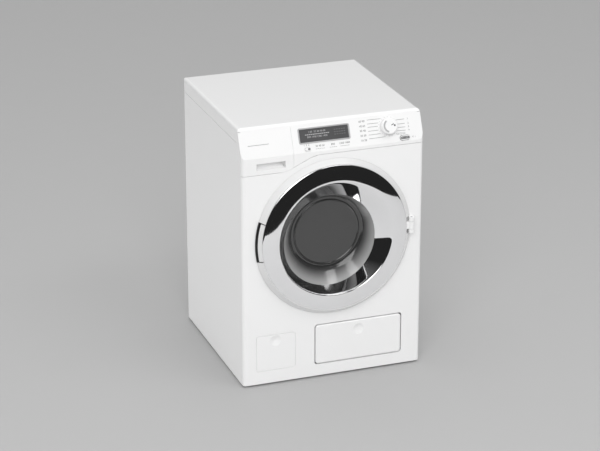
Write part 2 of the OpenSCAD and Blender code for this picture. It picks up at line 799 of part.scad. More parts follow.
module dial_encoder() {
    color("silver") on_panel(dial_x, dial_v) difference() {
        translate([0, 0, -board_back]) linear_extrude(board_back - wall - 1)
            square(3.6 * stem_r, center = true);
        rod(stem_r + run_fit, -board_back - past, 0);
    }
}
module program_dial() {
    color("lightgray") on_panel(dial_x, dial_v) difference() {
        union() {
            rod(stem_r, -stem_end, dial_gap + past);
            rotate_extrude() polygon([[0, dial_gap], [dial_r, dial_gap], [dial_r, dial_gap + dial_h - 1.5],
                [dial_r - 0.4, dial_gap + dial_h - 0.6], [dial_r - 1.2, dial_gap + dial_h],
                [0, dial_gap + dial_h]]);
        }
        translate([dial_r * 0.6, 0, dial_gap + dial_h - 0.6]) cylinder(r = dial_r / 8, h = past);
    }
}
module key_cap(size) {
    translate([0, 0, -wall - key_gap]) linear_extrude(wall + key_gap + key_stand) slot(size[0], size[1]);
    translate([0, 0, -wall - key_gap - flange_w]) linear_extrude(flange_w) slot(size[0] + 2, size[1] + 2);
}
module power_key_cap() { color("dimgray") on_panel(power_x, key_v) key_cap(power_key); }
module start_key_cap() { color("dimgray") on_panel(start_x, key_v) key_cap(start_key_size); }

module drawer_front() {
    color("white") difference() {
        union() {
            intersection() {
                shell(z_seam_lo - past);
                panel_zone(0);
                over_seam(0, -side_x - past, drawer_x);
            }
            block([recess_x - tray_t, recess_x + recess[0] + tray_t], [front_y + wall - thin, tray_y],
                [recess_z - tray_t, recess_z + recess[1] + tray_t]);
        }
        block([recess_x, recess_x + recess[0]], [front_y - past, front_y + recess[2]],
            [recess_z, recess_z + recess[1]]);
    }
}
module drawer_tray() {
    color("gainsboro") difference() {
        block(tray_x, [tray_y, tray_y + tray_l], [tray_z, tray_z + tray_h]);
        inner_w = (tray_w - 4 * tray_t) / 3;
        for (i = [0:2]) let (x = tray_x[0] + tray_t + i * (inner_w + tray_t))
            block([x, x + inner_w], [tray_y + tray_t, tray_y + tray_l - tray_t],
                [tray_z + tray_t, tray_z + tray_h + past]);
    }
}
module drawer_housing() {
    in = tray_gap + tray_t;
    color("lightgray") difference() {
        union() {
            block([tray_x[0] - in, tray_x[1] + in], housing_y, [housing_z, tray_z + tray_h + in]);
            block([tray_x[0], tray_x[1]], [front_y + wall, housing_y[0] + tray_t], [housing_z - 12, housing_z + tray_t]);
        }
        block([tray_x[0] - tray_gap, tray_x[1] + tray_gap], [front_y, housing_y[1] - tray_t],
            [housing_z + tray_t, tray_z + tray_h + tray_gap]);
        translate([fill_x, fill_y, 0]) rod(fill_r - tray_t, housing_z - past, housing_z + 2 * tray_t);
    }
}
module fill_hose() {
    color("silver") difference() {
        translate([fill_x, fill_y, 0]) ring(fill_r, fill_r - tray_t, door_z, housing_z);
        on_front(0, door_z) rod(tub_r, -cab_d, past);
    }
}

// The outline of the white band round the door, as radius and height
band_2d = [[ring_r - 4, door_gap], [door_r, door_gap], [door_r, door_gap + 0.6],
    [ring_r + 0.6, ring_stand - 0.1], [ring_r, ring_stand - 0.4], [ring_r, base_top], [ring_r - 4, base_top]];
module door_band() {
    color("gainsboro") on_front(0, door_z) difference() {
        rotate_extrude() polygon(band_2d);
        difference() {
            sector(handle_span[0], handle_span[1], 2 * door_r, door_gap + recess_t, door_stand);
            rod(ring_r, -2 * past, door_stand + past);
        }
        hinge_notch();
        translate([hook_x, 0, 0]) linear_extrude(past + base_top)
            square([hook_w, hook_h], center = true);
    }
}
module hinge_notch() {
    y = hinge_up - hinge_h / 2 - hinge_clear;
    translate([arm_x, y, -past]) cube([door_r, hinge_h + 2 * hinge_clear, door_stand]);
    translate([ring_r - 3, y, base_top]) cube([door_r, hinge_h + 2 * hinge_clear, door_stand]);
}
module door_handle() {
    color("white") on_front(0, door_z) intersection() {
        rotate_extrude() polygon(band_2d);
        sector(handle_span[0] + handle_end, handle_span[1] - handle_end, 2 * door_r, finger_gap, door_stand);
        ring(door_r + past, ring_r, finger_gap, door_stand);
    }
}
module door_ring() {
    n = 12;
    web = flange_top + 3;
    face = [for (i = [0:n]) let (r = ring_r - face_w * i / n) [r, face_p(r)]];
    lip = [for (i = [1:5]) let (a = (lip_turn + 10) * i / 5)
        [crown_r - lip_round * sin(a), door_stand - lip_round * (1 - cos(a))]];
    back = [for (i = [0:4]) let (r = crown_r + ring_foot + (face_w - 2 * ring_foot) * i / 4)
        [r, face_p(r) - ring_t]];
    color("silver") on_front(0, door_z) difference() {
        union() {
            rotate_extrude() polygon(concat(face, lip, [[neck_r - 2 * (funnel_top - web), web], [lip_r + ring_t, web]],
                back, [[ring_r - ring_foot, base_top], [ring_r, base_top]]));
            blend(funnel_r_at(web + 0.5) + ring_t, web + 0.5, funnel_c_at(web + 0.5),
                funnel_r + ring_t, -funnel_in, -funnel_drop);
            at_door_screws() rod(boss_r, flange_top, face_p(door_screw_r) - ring_t / 2);
        }
        blend(funnel_r_at(door_stand + past), door_stand + past, funnel_c_at(door_stand + past),
            funnel_r_at(-funnel_in - past), -funnel_in - past, funnel_c_at(-funnel_in - past));
        at_door_screws() rod(screw_r - 0.2, 0, flange_top + 2);
    }
}
module at_door_screws() {
    for (i = [0:door_screw_count - 1]) rotate(360 / door_screw_count * (i + 0.5)) translate([door_screw_r, 0, 0]) children();
}
module door_glass() {
    step = -funnel_in - fit;
    color([0.3, 0.3, 0.32, 0.6]) on_front(0, door_z) difference() {
        union() {
            rod(glass_flange_r, clamp_top, flange_top);
            rod(sleeve_r, step - glass_t, flange_top);
            blend(funnel_r + glass_t, step - fit, -funnel_drop, bowl_r + glass_t, -bowl_in - glass_t, -bowl_drop);
        }
        rod(sleeve_r - glass_t, step, flange_top + past);
        blend(funnel_r + past, step + past, -funnel_drop, bowl_r, -bowl_in, -bowl_drop);
        at_door_screws() rod(screw_r - 0.2, 0, flange_top + past);
    }
}
module door_inner_ring() {
    color("whitesmoke") on_front(0, door_z) difference() {
        ring(clamp_r, clamp_in_r, door_gap, clamp_top);
        at_door_screws() rod(screw_r - 0.2, 0, flange_top);
        at_door_screws() rod(2, 0, door_gap + 0.7);
    }
}
module door_screws() {
    color("silver") on_front(0, door_z) at_door_screws() {
        rod(2, door_gap, door_gap + 0.7);
        rod(screw_r - 0.2, door_gap + 0.7 - thin, flange_top + 2);
    }
}
module door_hook() {
    color("white") on_front(hook_x, door_z) difference() {
        translate([0, 0, -hook_in]) linear_extrude(hook_in + base_top)
            square([hook_w, hook_h], center = true);
        for (s = [-1, 1]) translate([s * hook_w / 2, 0, -hook_in]) rotate([0, s * 20, 0])
            cube([hook_w / 2, hook_h + past, 3], center = true);
    }
}
module door_hinge_arm() {
    color("white") on_front(0, hinge_z) difference() {
        union() {
            translate([hinge_x, 0, hinge_out]) rotate([90, 0, 0])
                cylinder(r = knuckle_r, h = knuckle_h, center = true);
            translate([ring_r - 2, -knuckle_h / 2, base_top])
                cube([hinge_x - ring_r + 2, knuckle_h, hinge_out - base_top + 1]);
        }
        translate([hinge_x, 0, hinge_out]) rotate([90, 0, 0])
            cylinder(r = hinge_pin_r + run_fit, h = hinge_h, center = true);
        translate([0, -hinge_up, 0]) rod(ring_r, 0, door_stand);
    }
}
module hinge_bracket() {
    color("white") difference() {
        for (s = [-1, 1]) on_front(hinge_x, hinge_z + s * lug_z) {
            translate([0, 0, hinge_out]) rotate([90, 0, 0]) cylinder(r = knuckle_r, h = lug_h, center = true);
            translate([-1.2, -lug_h / 2, 0]) cube([1.2 + knuckle_r, lug_h, hinge_out]);
            rod(screw_r, -wall - past, thin);
        }
        translate([hinge_x, front_y - hinge_out, hinge_z - hinge_h]) cylinder(r = hinge_pin_r, h = 2 * hinge_h);
    }
}
module hinge_pin() {
    color("silver") translate([hinge_x, front_y - hinge_out, hinge_z]) rod(hinge_pin_r, -hinge_h / 2, hinge_h / 2);
}
// Two cheeks behind the front that grip the hook
module door_catch() {
    color("gainsboro") on_front(hook_x, door_z) {
        for (s = [-1, 1]) translate([s * (hook_w / 2 + 3 * hook_gap), 0, -wall - hook_in / 2])
            cube([hook_gap * 2, hook_h + 4, hook_in], center = true);
        translate([0, 0, -wall - hook_in - 1]) linear_extrude(1.6)
            square([hook_w + 8 * hook_gap, hook_h + 4], center = true);
    }
}
module door_seal() {
    back = -tub_in;
    color("gray") on_front(0, door_z) rotate_extrude() polygon([[seal_r, -wall], [seal_r, -0.4],
        [seal_r + 1, 0], [opening_r, 0], [opening_r, -wall], [opening_r + 1.2, -wall],
        [opening_r + 1.2, -wall - 1.6], [seal_r + 1.8, -wall - 1.6], [seal_r + 1.8, back / 2 + 2],
        [seal_r + 4.5, back / 2], [seal_r + 1.8, back / 2 - 2], [seal_r + 1.8, back + 1.6],
        [seal_r + 4, back + 1.6], [seal_r + 4, back], [seal_r, back], [seal_r, back / 2 - 3],
        [seal_r + 2.4, back / 2], [seal_r, back / 2 + 3]]);
}

module tub_front() {
    color("gainsboro") on_front(0, door_z) {
        ring(tub_r, tub_mouth_r, -tub_in - tub_t, -tub_in);
        ring(tub_r, tub_r - tub_t, -tub_split, -tub_in - tub_t + thin);
    }
}
module tub_rear() {
    color("gainsboro") on_front(0, door_z) difference() {
        union() {
            ring(tub_r, tub_r - tub_t, -tub_end, -tub_split);
            rod(tub_r, -tub_end - thin, -tub_end + tub_t);
            rod(bush_r + hub_wall, -bush_out, -bush_in);
        }
        rod(bush_r, -bush_out - past, -drum_end);
    }
}
module tub_cradle() {
    color("silver") difference() {
        for (d = [tub_split - 14, tub_end - 26])
            block([-tub_r * 0.65, tub_r * 0.65], [front_y + d, front_y + d + bracket_t],
                [z_floor, door_z - tub_r * 0.62]);
        on_front(0, door_z) rod(tub_r, -cab_d, past);
        translate([motor_x, 0, motor_z]) rotate([-90, 0, 0]) cylinder(r = motor_r + 2, h = cab_d);
    }
}

module drum() {
    color("silver") on_front(0, door_z) difference() {
        rotate_extrude() polygon([[shaft_r, -drum_end], [drum_r, -drum_end], [drum_r, -drum_in],
            [mouth_r, -drum_in], [mouth_r, -drum_in - drum_t], [drum_r - drum_t, -drum_in - drum_t],
            [drum_r - drum_t, -drum_end + drum_t], [shaft_r, -drum_end + drum_t]]);
        for (k = [1:hole_rows], i = [0:hole_count - 1]) {
            paddle = 360 / paddle_count;
            a = 360 / hole_count * (i + 0.5);
            if (abs(a % paddle - paddle / 2) < paddle / 2 - asin(paddle_w / 2 / drum_r) - 2)
                rotate(a) translate([drum_r - 3 * drum_t, 0, -drum_in - drum_l * k / (hole_rows + 1)])
                    rotate([0, 90, 0]) cylinder(r = hole_r, h = 5 * drum_t);
        }
    }
}
module drum_paddles() {
    color("whitesmoke") on_front(0, door_z) for (i = [0:paddle_count - 1]) rotate(360 / paddle_count * i)
        translate([0, 0, -drum_end + drum_t]) linear_extrude(drum_l - 2 * drum_t - paddle_gap) intersection() {
            circle(drum_r - drum_t);
            polygon([[drum_r - drum_t - paddle_h, -paddle_top / 2], [drum_r, -paddle_w / 2],
                [drum_r, paddle_w / 2], [drum_r - drum_t - paddle_h, paddle_top / 2]]);
        }
}
module drum_hub_cap() {
    color("silver") on_front(0, door_z) rotate_extrude() polygon([[0, -drum_end + drum_t],
        [3 * shaft_r, -drum_end + drum_t], [3 * shaft_r - hub_rim / 2, -drum_end + drum_t + hub_rim],
        [0, -drum_end + drum_t + hub_h]]);
}
module drum_shaft() {
    color("lightsteelblue") on_front(0, door_z) {
        rod(shaft_r, -pulley_out - 2, -drum_end + drum_t);
        ring(bush_r, shaft_r - thin, -drum_end - 1.5, -drum_end);
    }
}
module bearing_bush() {
    color("goldenrod") on_front(0, door_z) ring(bush_r, shaft_r + run_fit, -bush_out, -bush_in);
}
module pulley(r, bore, spokes) {
    difference() {
        union() {
            rod(bore + 4, -pulley_out, -pulley_in);
            rod(r, -pulley_out, -pulley_in - pulley_hub);
            rod(r + flange_h, -pulley_out, -pulley_out + flange_t);
            rod(r + flange_h, -pulley_in - pulley_hub - flange_t, -pulley_in - pulley_hub);
        }
        rod(bore, -pulley_out - past, past);
        if (spokes > 0) for (i = [1:spokes]) rotate(360 / spokes * i) translate([r * 0.58, 0, 0])
            rod(r * 0.2, -pulley_out - past, past);
    }
}
module drum_pulley() { color("dimgray") on_front(0, door_z) pulley(pulley_r, shaft_r, 5); }
// The outline of a loop round both pulleys, g outside the faces that carry it
function loop_2d(g) = concat(
    [for (i = [0:48]) let (a = drive_angle + 90 - belt_a + (180 + 2 * belt_a) * i / 48)
        (pulley_r + g) * [cos(a), sin(a)]],
    [for (i = [0:16]) let (a = drive_angle - 90 + belt_a + (180 - 2 * belt_a) * i / 16)
        [motor_x, motor_z - door_z] + (drive_r + g) * [cos(a), sin(a)]]);
module drive_belt() {
    color("black") on_front(0, door_z) translate([0, 0, -belt_in - belt_w]) linear_extrude(belt_w)
        difference() {
            polygon(loop_2d(belt_gap + belt_t));
            polygon(loop_2d(belt_gap));
        }
}
module motor() {
    color("silver") on_front(motor_x, motor_z) difference() {
        union() {
            rod(motor_r, -motor_end, -motor_in);
            rod(motor_shaft_r + collar_w, -motor_end - bracket_t, -motor_end + thin);
        }
        rod(motor_shaft_r + run_fit, -motor_end - bracket_t - past, -motor_end + shaft_seat + 2);
    }
}
module motor_bracket() {
    color("lightsteelblue") difference() {
        union() {
            block([motor_x - motor_r - bracket_side, motor_x + motor_r + bracket_side],
                [front_y + motor_end, front_y + motor_end + bracket_t], [z_floor, motor_z + motor_r]);
            block([motor_x - motor_r - bracket_side, motor_x + motor_r + bracket_side],
                [front_y + motor_end - bracket_foot, front_y + motor_end + thin], [z_floor, z_floor + bracket_t]);
        }
        on_front(motor_x, motor_z) rod(motor_shaft_r + collar_w, -cab_d, past);
    }
}
module motor_shaft() {
    color("lightsteelblue") on_front(motor_x, motor_z) rod(motor_shaft_r, -pulley_out - 2, -motor_end + shaft_seat);
}
module motor_pulley() {
    color("dimgray") on_front(motor_x, motor_z) difference() {
        union() {
            rod(drive_r, -pulley_out, -pulley_in - pulley_hub);
            rod(drive_r + flange_h, -pulley_out, -pulley_out + flange_t);
            rod(drive_r + flange_h, -pulley_in - pulley_hub - flange_t, -pulley_in - pulley_hub);
        }
        rod(motor_shaft_r, -pulley_out - past, past);
    }
}

module service_flap() {
    color("white") difference() {
        on_front(0, 0) union() {
            translate([0, 0, -wall]) linear_extrude(wall) flap_2d(0);
            hull() {
                translate([0, 0, -0.4]) linear_extrude(thin) flap_2d(0);
                translate([0, 0, flap_stand - thin]) linear_extrude(thin) flap_2d(1);
            }
            translate([flap_x[0] + 2, flap_z, -flap_rim]) cube([flap_w - 4, 2 * (flap_pin_z - flap_z), flap_rim - 1]);
        }
        on_front(flap_mid, flap_z + dimple_up) translate([0, 0, flap_stand]) dimple();
        flap_pin_shape(flap_gap);
    }
}
module flap_2d(g) {
    round_rect([flap_x[0] + g, flap_z + g], [flap_x[1] - g, flap_z + flap_h - g], flap_corner_r - g / 2, $fn = 32);
}
module flap_pin_shape(more) {
    for (x = [flap_x[0] - flap_gap - boss_w + 1 - more, flap_x[1] - 6])
        translate([x, front_y + flap_pin_in, flap_pin_z]) rotate([0, 90, 0])
            cylinder(r = flap_pin_r, h = 6 + flap_gap + boss_w - 1 + more);
}
module flap_pins() { color("silver") flap_pin_shape(0); }
module flap_niche() {
    color("gainsboro") difference() {
        block([niche_x[0] - niche_t, niche_x[1] + niche_t], [front_y + wall, front_y + sump_in],
            [niche_z[0] - niche_t, niche_z[1] + niche_t]);
        block(niche_x, [front_y, front_y + sump_in - niche_t], niche_z);
        on_front(flap_mid, cap_z) rod(plug_r + 3, -cab_d / 2, past);
    }
}
module filter_cap() {
    color("gainsboro") on_front(flap_mid, cap_z) {
        rod(cap_r, -sump_in + niche_t + 0.4, -cap_in - cap_h);
        rod(plug_r, -sump_in - plug_l + 2, -sump_in + niche_t + 0.4 + thin);
        translate([0, 0, -cap_in - cap_h - thin]) linear_extrude(grip_h) slot(2 * (cap_r - grip_in), grip_w);
    }
}
module drain_sump() {
    color("dimgray") difference() {
        block([flap_mid - cap_r, flap_mid + cap_r], [front_y + sump_in, front_y + sump_in + sump_l],
            [cap_z - cap_r, cap_z + cap_r]);
        on_front(flap_mid, cap_z) rod(plug_r + run_fit, -sump_in - plug_l, past);
        translate([drain_x, front_y + drain_in, 0]) rod(drain_r - 1.6, cap_z, cap_z + 2 * cap_r);
    }
}
module drain_hose() {
    color("gray") difference() {
        translate([drain_x, front_y + drain_in, 0]) ring(drain_r, drain_r - 1.6, cap_z + cap_r, door_z);
        on_front(0, door_z) rod(tub_r, -cab_d, past);
    }
}

module battery_box() {
    color("whitesmoke") difference() {
        block(box_x, [back_y - wall - box_d - box_t, back_y - wall], box_z);
        block([box_x[0] + box_t, box_x[1] - box_t], [back_y - wall - box_d, back_y + past],
            [box_z[0] + box_t, box_z[1] - box_t]);
    }
}
module battery_contacts() {
    color("silver") for (i = [0:cell_count - 1]) {
        x = box_x[0] + box_t + 1 + cell_w * (i + 0.5);
        y = back_y - wall - box_d / 2;
        translate([x, y, 0]) {
            block([-4, 4], [-4, 4], [box_z[0] + box_t, box_z[0] + box_t + 0.5]);
            block([-4, 4], [-4, 4], [box_z[1] - box_t - 0.5, box_z[1] - box_t]);
            if (i % 2 == 0) translate([0, 0, box_z[0] + box_t + 0.5 - thin])
                cylinder(r1 = 3.4, r2 = 2, h = 4);
            else translate([0, 0, box_z[1] - box_t - 0.5 - 4 + thin]) cylinder(r1 = 2, r2 = 3.4, h = 4);
        }
    }
}
module battery_door() {
    color("whitesmoke") difference() {
        block(door_x, [back_y - wall / 2, back_y], door_h);
        for (i = [0:3]) block([lock_x - 8, lock_x + 8], [back_y - 0.4, back_y + past],
            [door_h[0] + 4 + 2.4 * i, door_h[0] + 5.2 + 2.4 * i]);
        lock_hole();
    }
}
module lock_hole() {
    translate([lock_x, back_y + past, lock_z]) rotate([90, 0, 0]) cylinder(r = screw_r, h = wall + 2 * past);
}
module battery_screw() {
    color("silver") translate([lock_x, back_y, lock_z]) rotate([90, 0, 0]) difference() {
        rod(screw_r, 0, wall);
        translate([-0.8, -0.2, -past]) cube([1.6, 0.4, past + 0.4]);
    }
}
module loudspeaker() {
    color("dimgray") translate([speaker_x, back_y - wall, speaker_z]) rotate([90, 0, 0]) {
        ring(speaker_r, speaker_r - speaker_rim, 0, speaker_rim);
        translate([0, 0, speaker_rim - thin]) cylinder(r1 = speaker_r, r2 = speaker_r / 2, h = speaker_l / 2);
        rod(speaker_r / 2, speaker_rim + speaker_l / 2 - 2 * thin, speaker_l);
    }
}

cabinet();
top_cover();
rear_panel();
base_plate();
feet();
casing_screws();
control_fascia();
display_rim();
display_window();
display_module();
circuit_board();
key_switches();
dial_encoder();
program_dial();
power_key_cap();
start_key_cap();
drawer_front();
drawer_tray();
drawer_housing();
fill_hose();
door_band();
door_handle();
door_ring();
door_glass();
door_inner_ring();
door_screws();
door_hook();
door_hinge_arm();
hinge_bracket();
hinge_pin();
door_catch();
door_seal();
tub_front();
tub_rear();
tub_cradle();
drum();
drum_paddles();
drum_hub_cap();
drum_shaft();
bearing_bush();
drum_pulley();
drive_belt();
motor();
motor_bracket();
motor_shaft();
motor_pulley();
service_flap();
flap_pins();
flap_niche();
filter_cap();
drain_sump();
drain_hose();
battery_box();
battery_contacts();
battery_door();
battery_screw();
loudspeaker();
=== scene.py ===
"""Finishes, fine detail, light and camera of the toy washing machine.

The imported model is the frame. Lengths are millimetres on the side of the
machine that a piece sits on; Face turns them to metres in the frame.
"""

import logging
import math
from collections.abc import Callable, Mapping, Sequence
from dataclasses import dataclass
from enum import Enum
from typing import Any

import bmesh
import bpy
from mathutils import Matrix, Vector


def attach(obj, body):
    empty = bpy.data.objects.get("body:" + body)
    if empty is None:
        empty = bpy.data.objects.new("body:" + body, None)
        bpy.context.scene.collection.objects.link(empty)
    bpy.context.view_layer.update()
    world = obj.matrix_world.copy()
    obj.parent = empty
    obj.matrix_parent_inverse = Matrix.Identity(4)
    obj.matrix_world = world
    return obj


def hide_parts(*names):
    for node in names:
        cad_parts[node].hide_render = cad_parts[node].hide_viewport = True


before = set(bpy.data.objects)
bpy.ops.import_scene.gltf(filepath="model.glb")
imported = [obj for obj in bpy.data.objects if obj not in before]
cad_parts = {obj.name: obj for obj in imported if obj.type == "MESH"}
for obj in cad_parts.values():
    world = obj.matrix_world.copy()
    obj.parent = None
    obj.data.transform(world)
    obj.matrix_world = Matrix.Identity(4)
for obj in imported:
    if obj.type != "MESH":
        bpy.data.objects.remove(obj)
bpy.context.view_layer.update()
log = logging.getLogger("washer")

MM = 0.001
FRONT_Y = -86.5
BACK_Y = 95.5
DOOR_Z = 146.9
PANEL_Z = 234.7
TILT = math.radians(23.552)

Loop = Sequence[tuple[float, float]]
Station = tuple[float, float, float, float]


class Face(Enum):
    """A side of the machine: its two axes, the way out of it, and where it starts."""

    FRONT = ((1, 0, 0), (0, 0, 1), (0, -1, 0), (0, FRONT_Y, 0))
    PANEL = ((1, 0, 0), (0, math.sin(TILT), math.cos(TILT)), (0, -math.cos(TILT), math.sin(TILT)), (0, FRONT_Y, PANEL_Z))
    BACK = ((-1, 0, 0), (0, 0, 1), (0, 1, 0), (0, BACK_Y, 0))
    UNDER = ((1, 0, 0), (0, -1, 0), (0, 0, -1), (0, 0, 0))
    LEVEL = ((1, 0, 0), (0, 1, 0), (0, 0, 1), (0, 0, 0))

    def seat(self, x: float = 0.0, y: float = 0.0, out: float = 0.0, turn: float = 0.0) -> Matrix:
        """Where a shape goes.

        Args:
            x: millimetres along the side's first axis.
            y: millimetres along its second axis.
            out: millimetres out of it.
            turn: degrees about the way out.

        Returns:
            The matrix from the shape's millimetres to metres in the frame.
        """
        across, up, away, start = (Vector(v) for v in self.value)
        place = Matrix((across, up, away)).transposed().to_4x4()
        place.translation = start + across * x + up * y + away * out
        return Matrix.Scale(MM, 4) @ place @ Matrix.Rotation(math.radians(turn), 4, "Z")


def linear(code: str) -> tuple[float, float, float, float]:
    """Turns an sRGB hex value to linear colour.

    Args:
        code: six hex digits.

    Returns:
        Red, green, blue and alpha.
    """
    parts = [int(code[i : i + 2], 16) / 255 for i in (0, 2, 4)]
    r, g, b = [c / 12.92 if c <= 0.04045 else ((c + 0.055) / 1.055) ** 2.4 for c in parts]
    return (r, g, b, 1.0)


def add(
    tree: bpy.types.NodeTree,
    kind: str,
    settings: Mapping[str, Any] | None = None,
    inputs: Mapping[Any, Any] | None = None,
) -> bpy.types.Node:
    """Adds one node.

    Args:
        tree: the shader or geometry tree.
        kind: the node's type name.
        settings: its properties.
        inputs: a constant or another node's output for each input, by name or number.

    Returns:
        The new node.
    """
    made = tree.nodes.new(kind)
    for key, value in (settings or {}).items():
        setattr(made, key, value)
    for key, value in (inputs or {}).items():
        if isinstance(value, bpy.types.NodeSocket):
            tree.links.new(value, made.inputs[key])
        else:
            made.inputs[key].default_value = value
    return made


class Grain(Enum):
    """How a surface's fine texture runs."""

    EVEN = (1.0, 1.0, 1.0)
    BRUSHED_X = (0.04, 1.0, 1.0)
    BRUSHED_Y = (1.0, 0.04, 1.0)
    BRUSHED_Z = (1.0, 1.0, 0.04)


@dataclass(frozen=True)
class Finish:
    """One material: a real surface and how it was made.

    Sizes are millimetres. grain is the spacing of the fine texture and relief
    its height; cloud is the size of the slow drift in tone towards second.
    """

    name: str
    colour: str
    second: str
    roughness: float
    spread: float = 0.04
    metallic: float = 0.0
    ior: float = 1.5
    coat: float = 0.0
    coat_roughness: float = 0.05
    transmission: float = 0.0
    grain: float = 0.6
    relief: float = 0.004
    cloud: float = 40.0
    run: Grain = Grain.EVEN

    def material(self) -> bpy.types.Material:
        """Builds the material once.

        Returns:
            The material, made on the first call and found on later ones.
        """
        found = bpy.data.materials.get(self.name)
        if found:
            return found
        made = bpy.data.materials.new(self.name)
        made.use_nodes = True
        tree = made.node_tree
        tree.nodes.clear()
        where = add(tree, "ShaderNodeTexCoord").outputs["Object"]
        fixed = {
            "Metallic": self.metallic,
            "IOR": self.ior,
            "Coat Weight": self.coat,
            "Coat Roughness": self.coat_roughness,
            "Transmission Weight": self.transmission,
        }
        shader = add(tree, "ShaderNodeBsdfPrincipled", None, fixed)
        self.tone(tree, where, shader)
        self.touch(tree, where, shader)
        add(tree, "ShaderNodeOutputMaterial", None, {"Surface": shader.outputs["BSDF"]})
        return made

    def tone(self, tree: bpy.types.NodeTree, where: bpy.types.NodeSocket, shader: bpy.types.Node) -> None:
        """Lets the colour and the gloss drift slowly over the surface.

        Args:
            tree: the material's tree.
            where: the Object coordinates.
            shader: the surface shader.
        """
        drift = {"Vector": where, "Scale": 1000 / self.cloud, "Detail": 3.0, "Roughness": 0.55}
        cloud = add(tree, "ShaderNodeTexNoise", None, drift).outputs["Fac"]
        ramp = add(tree, "ShaderNodeValToRGB", None, {"Fac": cloud})
        for stop, at, code in zip(ramp.color_ramp.elements, (0.35, 0.72), (self.colour, self.second)):
            stop.position = at
            stop.color = linear(code)
        tree.links.new(ramp.outputs["Color"], shader.inputs["Base Color"])
        limits = {"Value": cloud, 1: 0.3, 2: 0.75, 3: max(0.0, self.roughness - self.spread), 4: self.roughness + self.spread}
        gloss = add(tree, "ShaderNodeMapRange", None, limits)
        tree.links.new(gloss.outputs[0], shader.inputs["Roughness"])

    def touch(self, tree: bpy.types.NodeTree, where: bpy.types.NodeSocket, shader: bpy.types.Node) -> None:
        """Gives the surface its fine grain.

        Args:
            tree: the material's tree.
            where: the Object coordinates.
            shader: the surface shader.
        """
        along = add(tree, "ShaderNodeMapping", None, {"Vector": where, "Scale": Vector(self.run.value)})
        speck = {"Vector": along.outputs[0], "Scale": 1000 / self.grain, "Detail": 2.0}
        grain = add(tree, "ShaderNodeTexNoise", None, speck)
        rise = {"Height": grain.outputs["Fac"], "Strength": 1.0, "Distance": self.relief * MM}
        bump = add(tree, "ShaderNodeBump", None, rise)
        tree.links.new(bump.outputs["Normal"], shader.inputs["Normal"])


@dataclass(frozen=True)
class TintWithPaintedLight(Finish):
    """A smoke-tinted clear plastic with painted light in its colour: dark at its floor, pale towards its rim, where
    reflections and light through the glass are painted in.
    """

    floor: float = 17.2
    rim: float = 4.0

    def tone(self, tree: bpy.types.NodeTree, where: bpy.types.NodeSocket, shader: bpy.types.Node) -> None:
        """Paints light into the tint by depth behind the front: pale near the rim, dark at the floor.

        Args:
            tree: the material's tree.
            where: the Object coordinates.
            shader: the surface shader.
        """
        # painted light: the colour runs from dark at the floor to pale at the rim, in place of reflections and light
        # through the glass
        depth = add(tree, "ShaderNodeSeparateXYZ", None, {0: where}).outputs[1]
        limits = {"Value": depth, 1: (FRONT_Y + self.floor) * MM, 2: (FRONT_Y + self.rim) * MM, 3: 0.0, 4: 1.0}
        share = add(tree, "ShaderNodeMapRange", {"interpolation_type": "SMOOTHSTEP"}, limits).outputs[0]
        ramp = add(tree, "ShaderNodeValToRGB", None, {"Fac": share})
        ramp.color_ramp.elements[0].color = linear(self.colour)
        ramp.color_ramp.elements[1].color = linear(self.second)
        tree.links.new(ramp.outputs["Color"], shader.inputs["Base Color"])
        shader.inputs["Roughness"].default_value = self.roughness


# ABS from a polished mould: clean white with a soft sheen, as on the cabinet.
GLOSS_ABS = Finish("Gloss moulded ABS white", "f5f5f5", "f4f4f4", 0.26, spread=0.01, coat=0.15, cloud=150, relief=0.002)
# The door's band is the cabinet's white plastic with painted shade: its colour is a step darker than the cabinet's.
DOOR_ABS_PAINTED_SHADE = Finish("Gloss moulded ABS white with painted shade", "e3e3e3", "e0e0e0", 0.26, spread=0.01, coat=0.15, cloud=150, relief=0.002)
# The same plastic from a mirror-polished mould, with painted shade: its colour is a step below the cabinet's to tone
# down the light on the sloping panel.
PANEL_ABS_PAINTED_SHADE = Finish("Polished moulded ABS white with painted shade", "f4f4f4", "f3f3f3", 0.22, spread=0.01, coat=0.2, cloud=120, relief=0.002)
# ABS from an eroded mould: the back and the inside look duller than the front.
SATIN_ABS = Finish("Satin moulded ABS white", "ececeb", "e8e8e6", 0.42, spread=0.02, relief=0.012, cloud=120)
# Coarse spark texture on grey ABS: a dry base that hides scratches.
GREY_ABS = Finish("Spark-textured ABS grey", "b4b5b7", "a6a7a9", 0.5, relief=0.02, grain=0.9)
# Moulded rubber: dark, with next to no gloss.
RUBBER = Finish("Moulded rubber dark", "3a3a3c", "444446", 0.72, relief=0.02, grain=0.8)
# Silicone rubber: grey with a waxy half gloss.
SEAL_RUBBER = Finish("Moulded silicone rubber grey", "77797c", "6b6d70", 0.55, relief=0.015, grain=1.2)
# Zinc plating on screws: bright, slightly cloudy steel.
STEEL = Finish("Zinc-plated steel", "b8babd", "a2a4a8", 0.32, metallic=1.0, cloud=12, grain=0.5)
# Hot-dip galvanising: the spangle shows as patches a few millimetres wide.
GALVANISED = Finish("Galvanised sheet steel", "a9adb1", "8f9499", 0.42, metallic=1.0, grain=1.5, cloud=6, relief=0.006)
# Centreless grinding leaves fine marks along the rod.
PINS = Finish("Ground steel rod", "c4c6c8", "b2b4b7", 0.2, metallic=1.0, run=Grain.BRUSHED_X)
# Vacuum metallising under clear lacquer: a near mirror.
CHROME = Finish("Vacuum-metallised bright plating", "e4e4e5", "e0e0e1", 0.045, spread=0.015, metallic=1.0, grain=3.0, relief=0.001)
# The same on a satin mould: the drum gives only soft reflections.
DRUM_METAL = Finish("Vacuum-metallised ABS satin", "b9bcc0", "a9acb1", 0.24, metallic=1.0, run=Grain.BRUSHED_Y, grain=0.8)
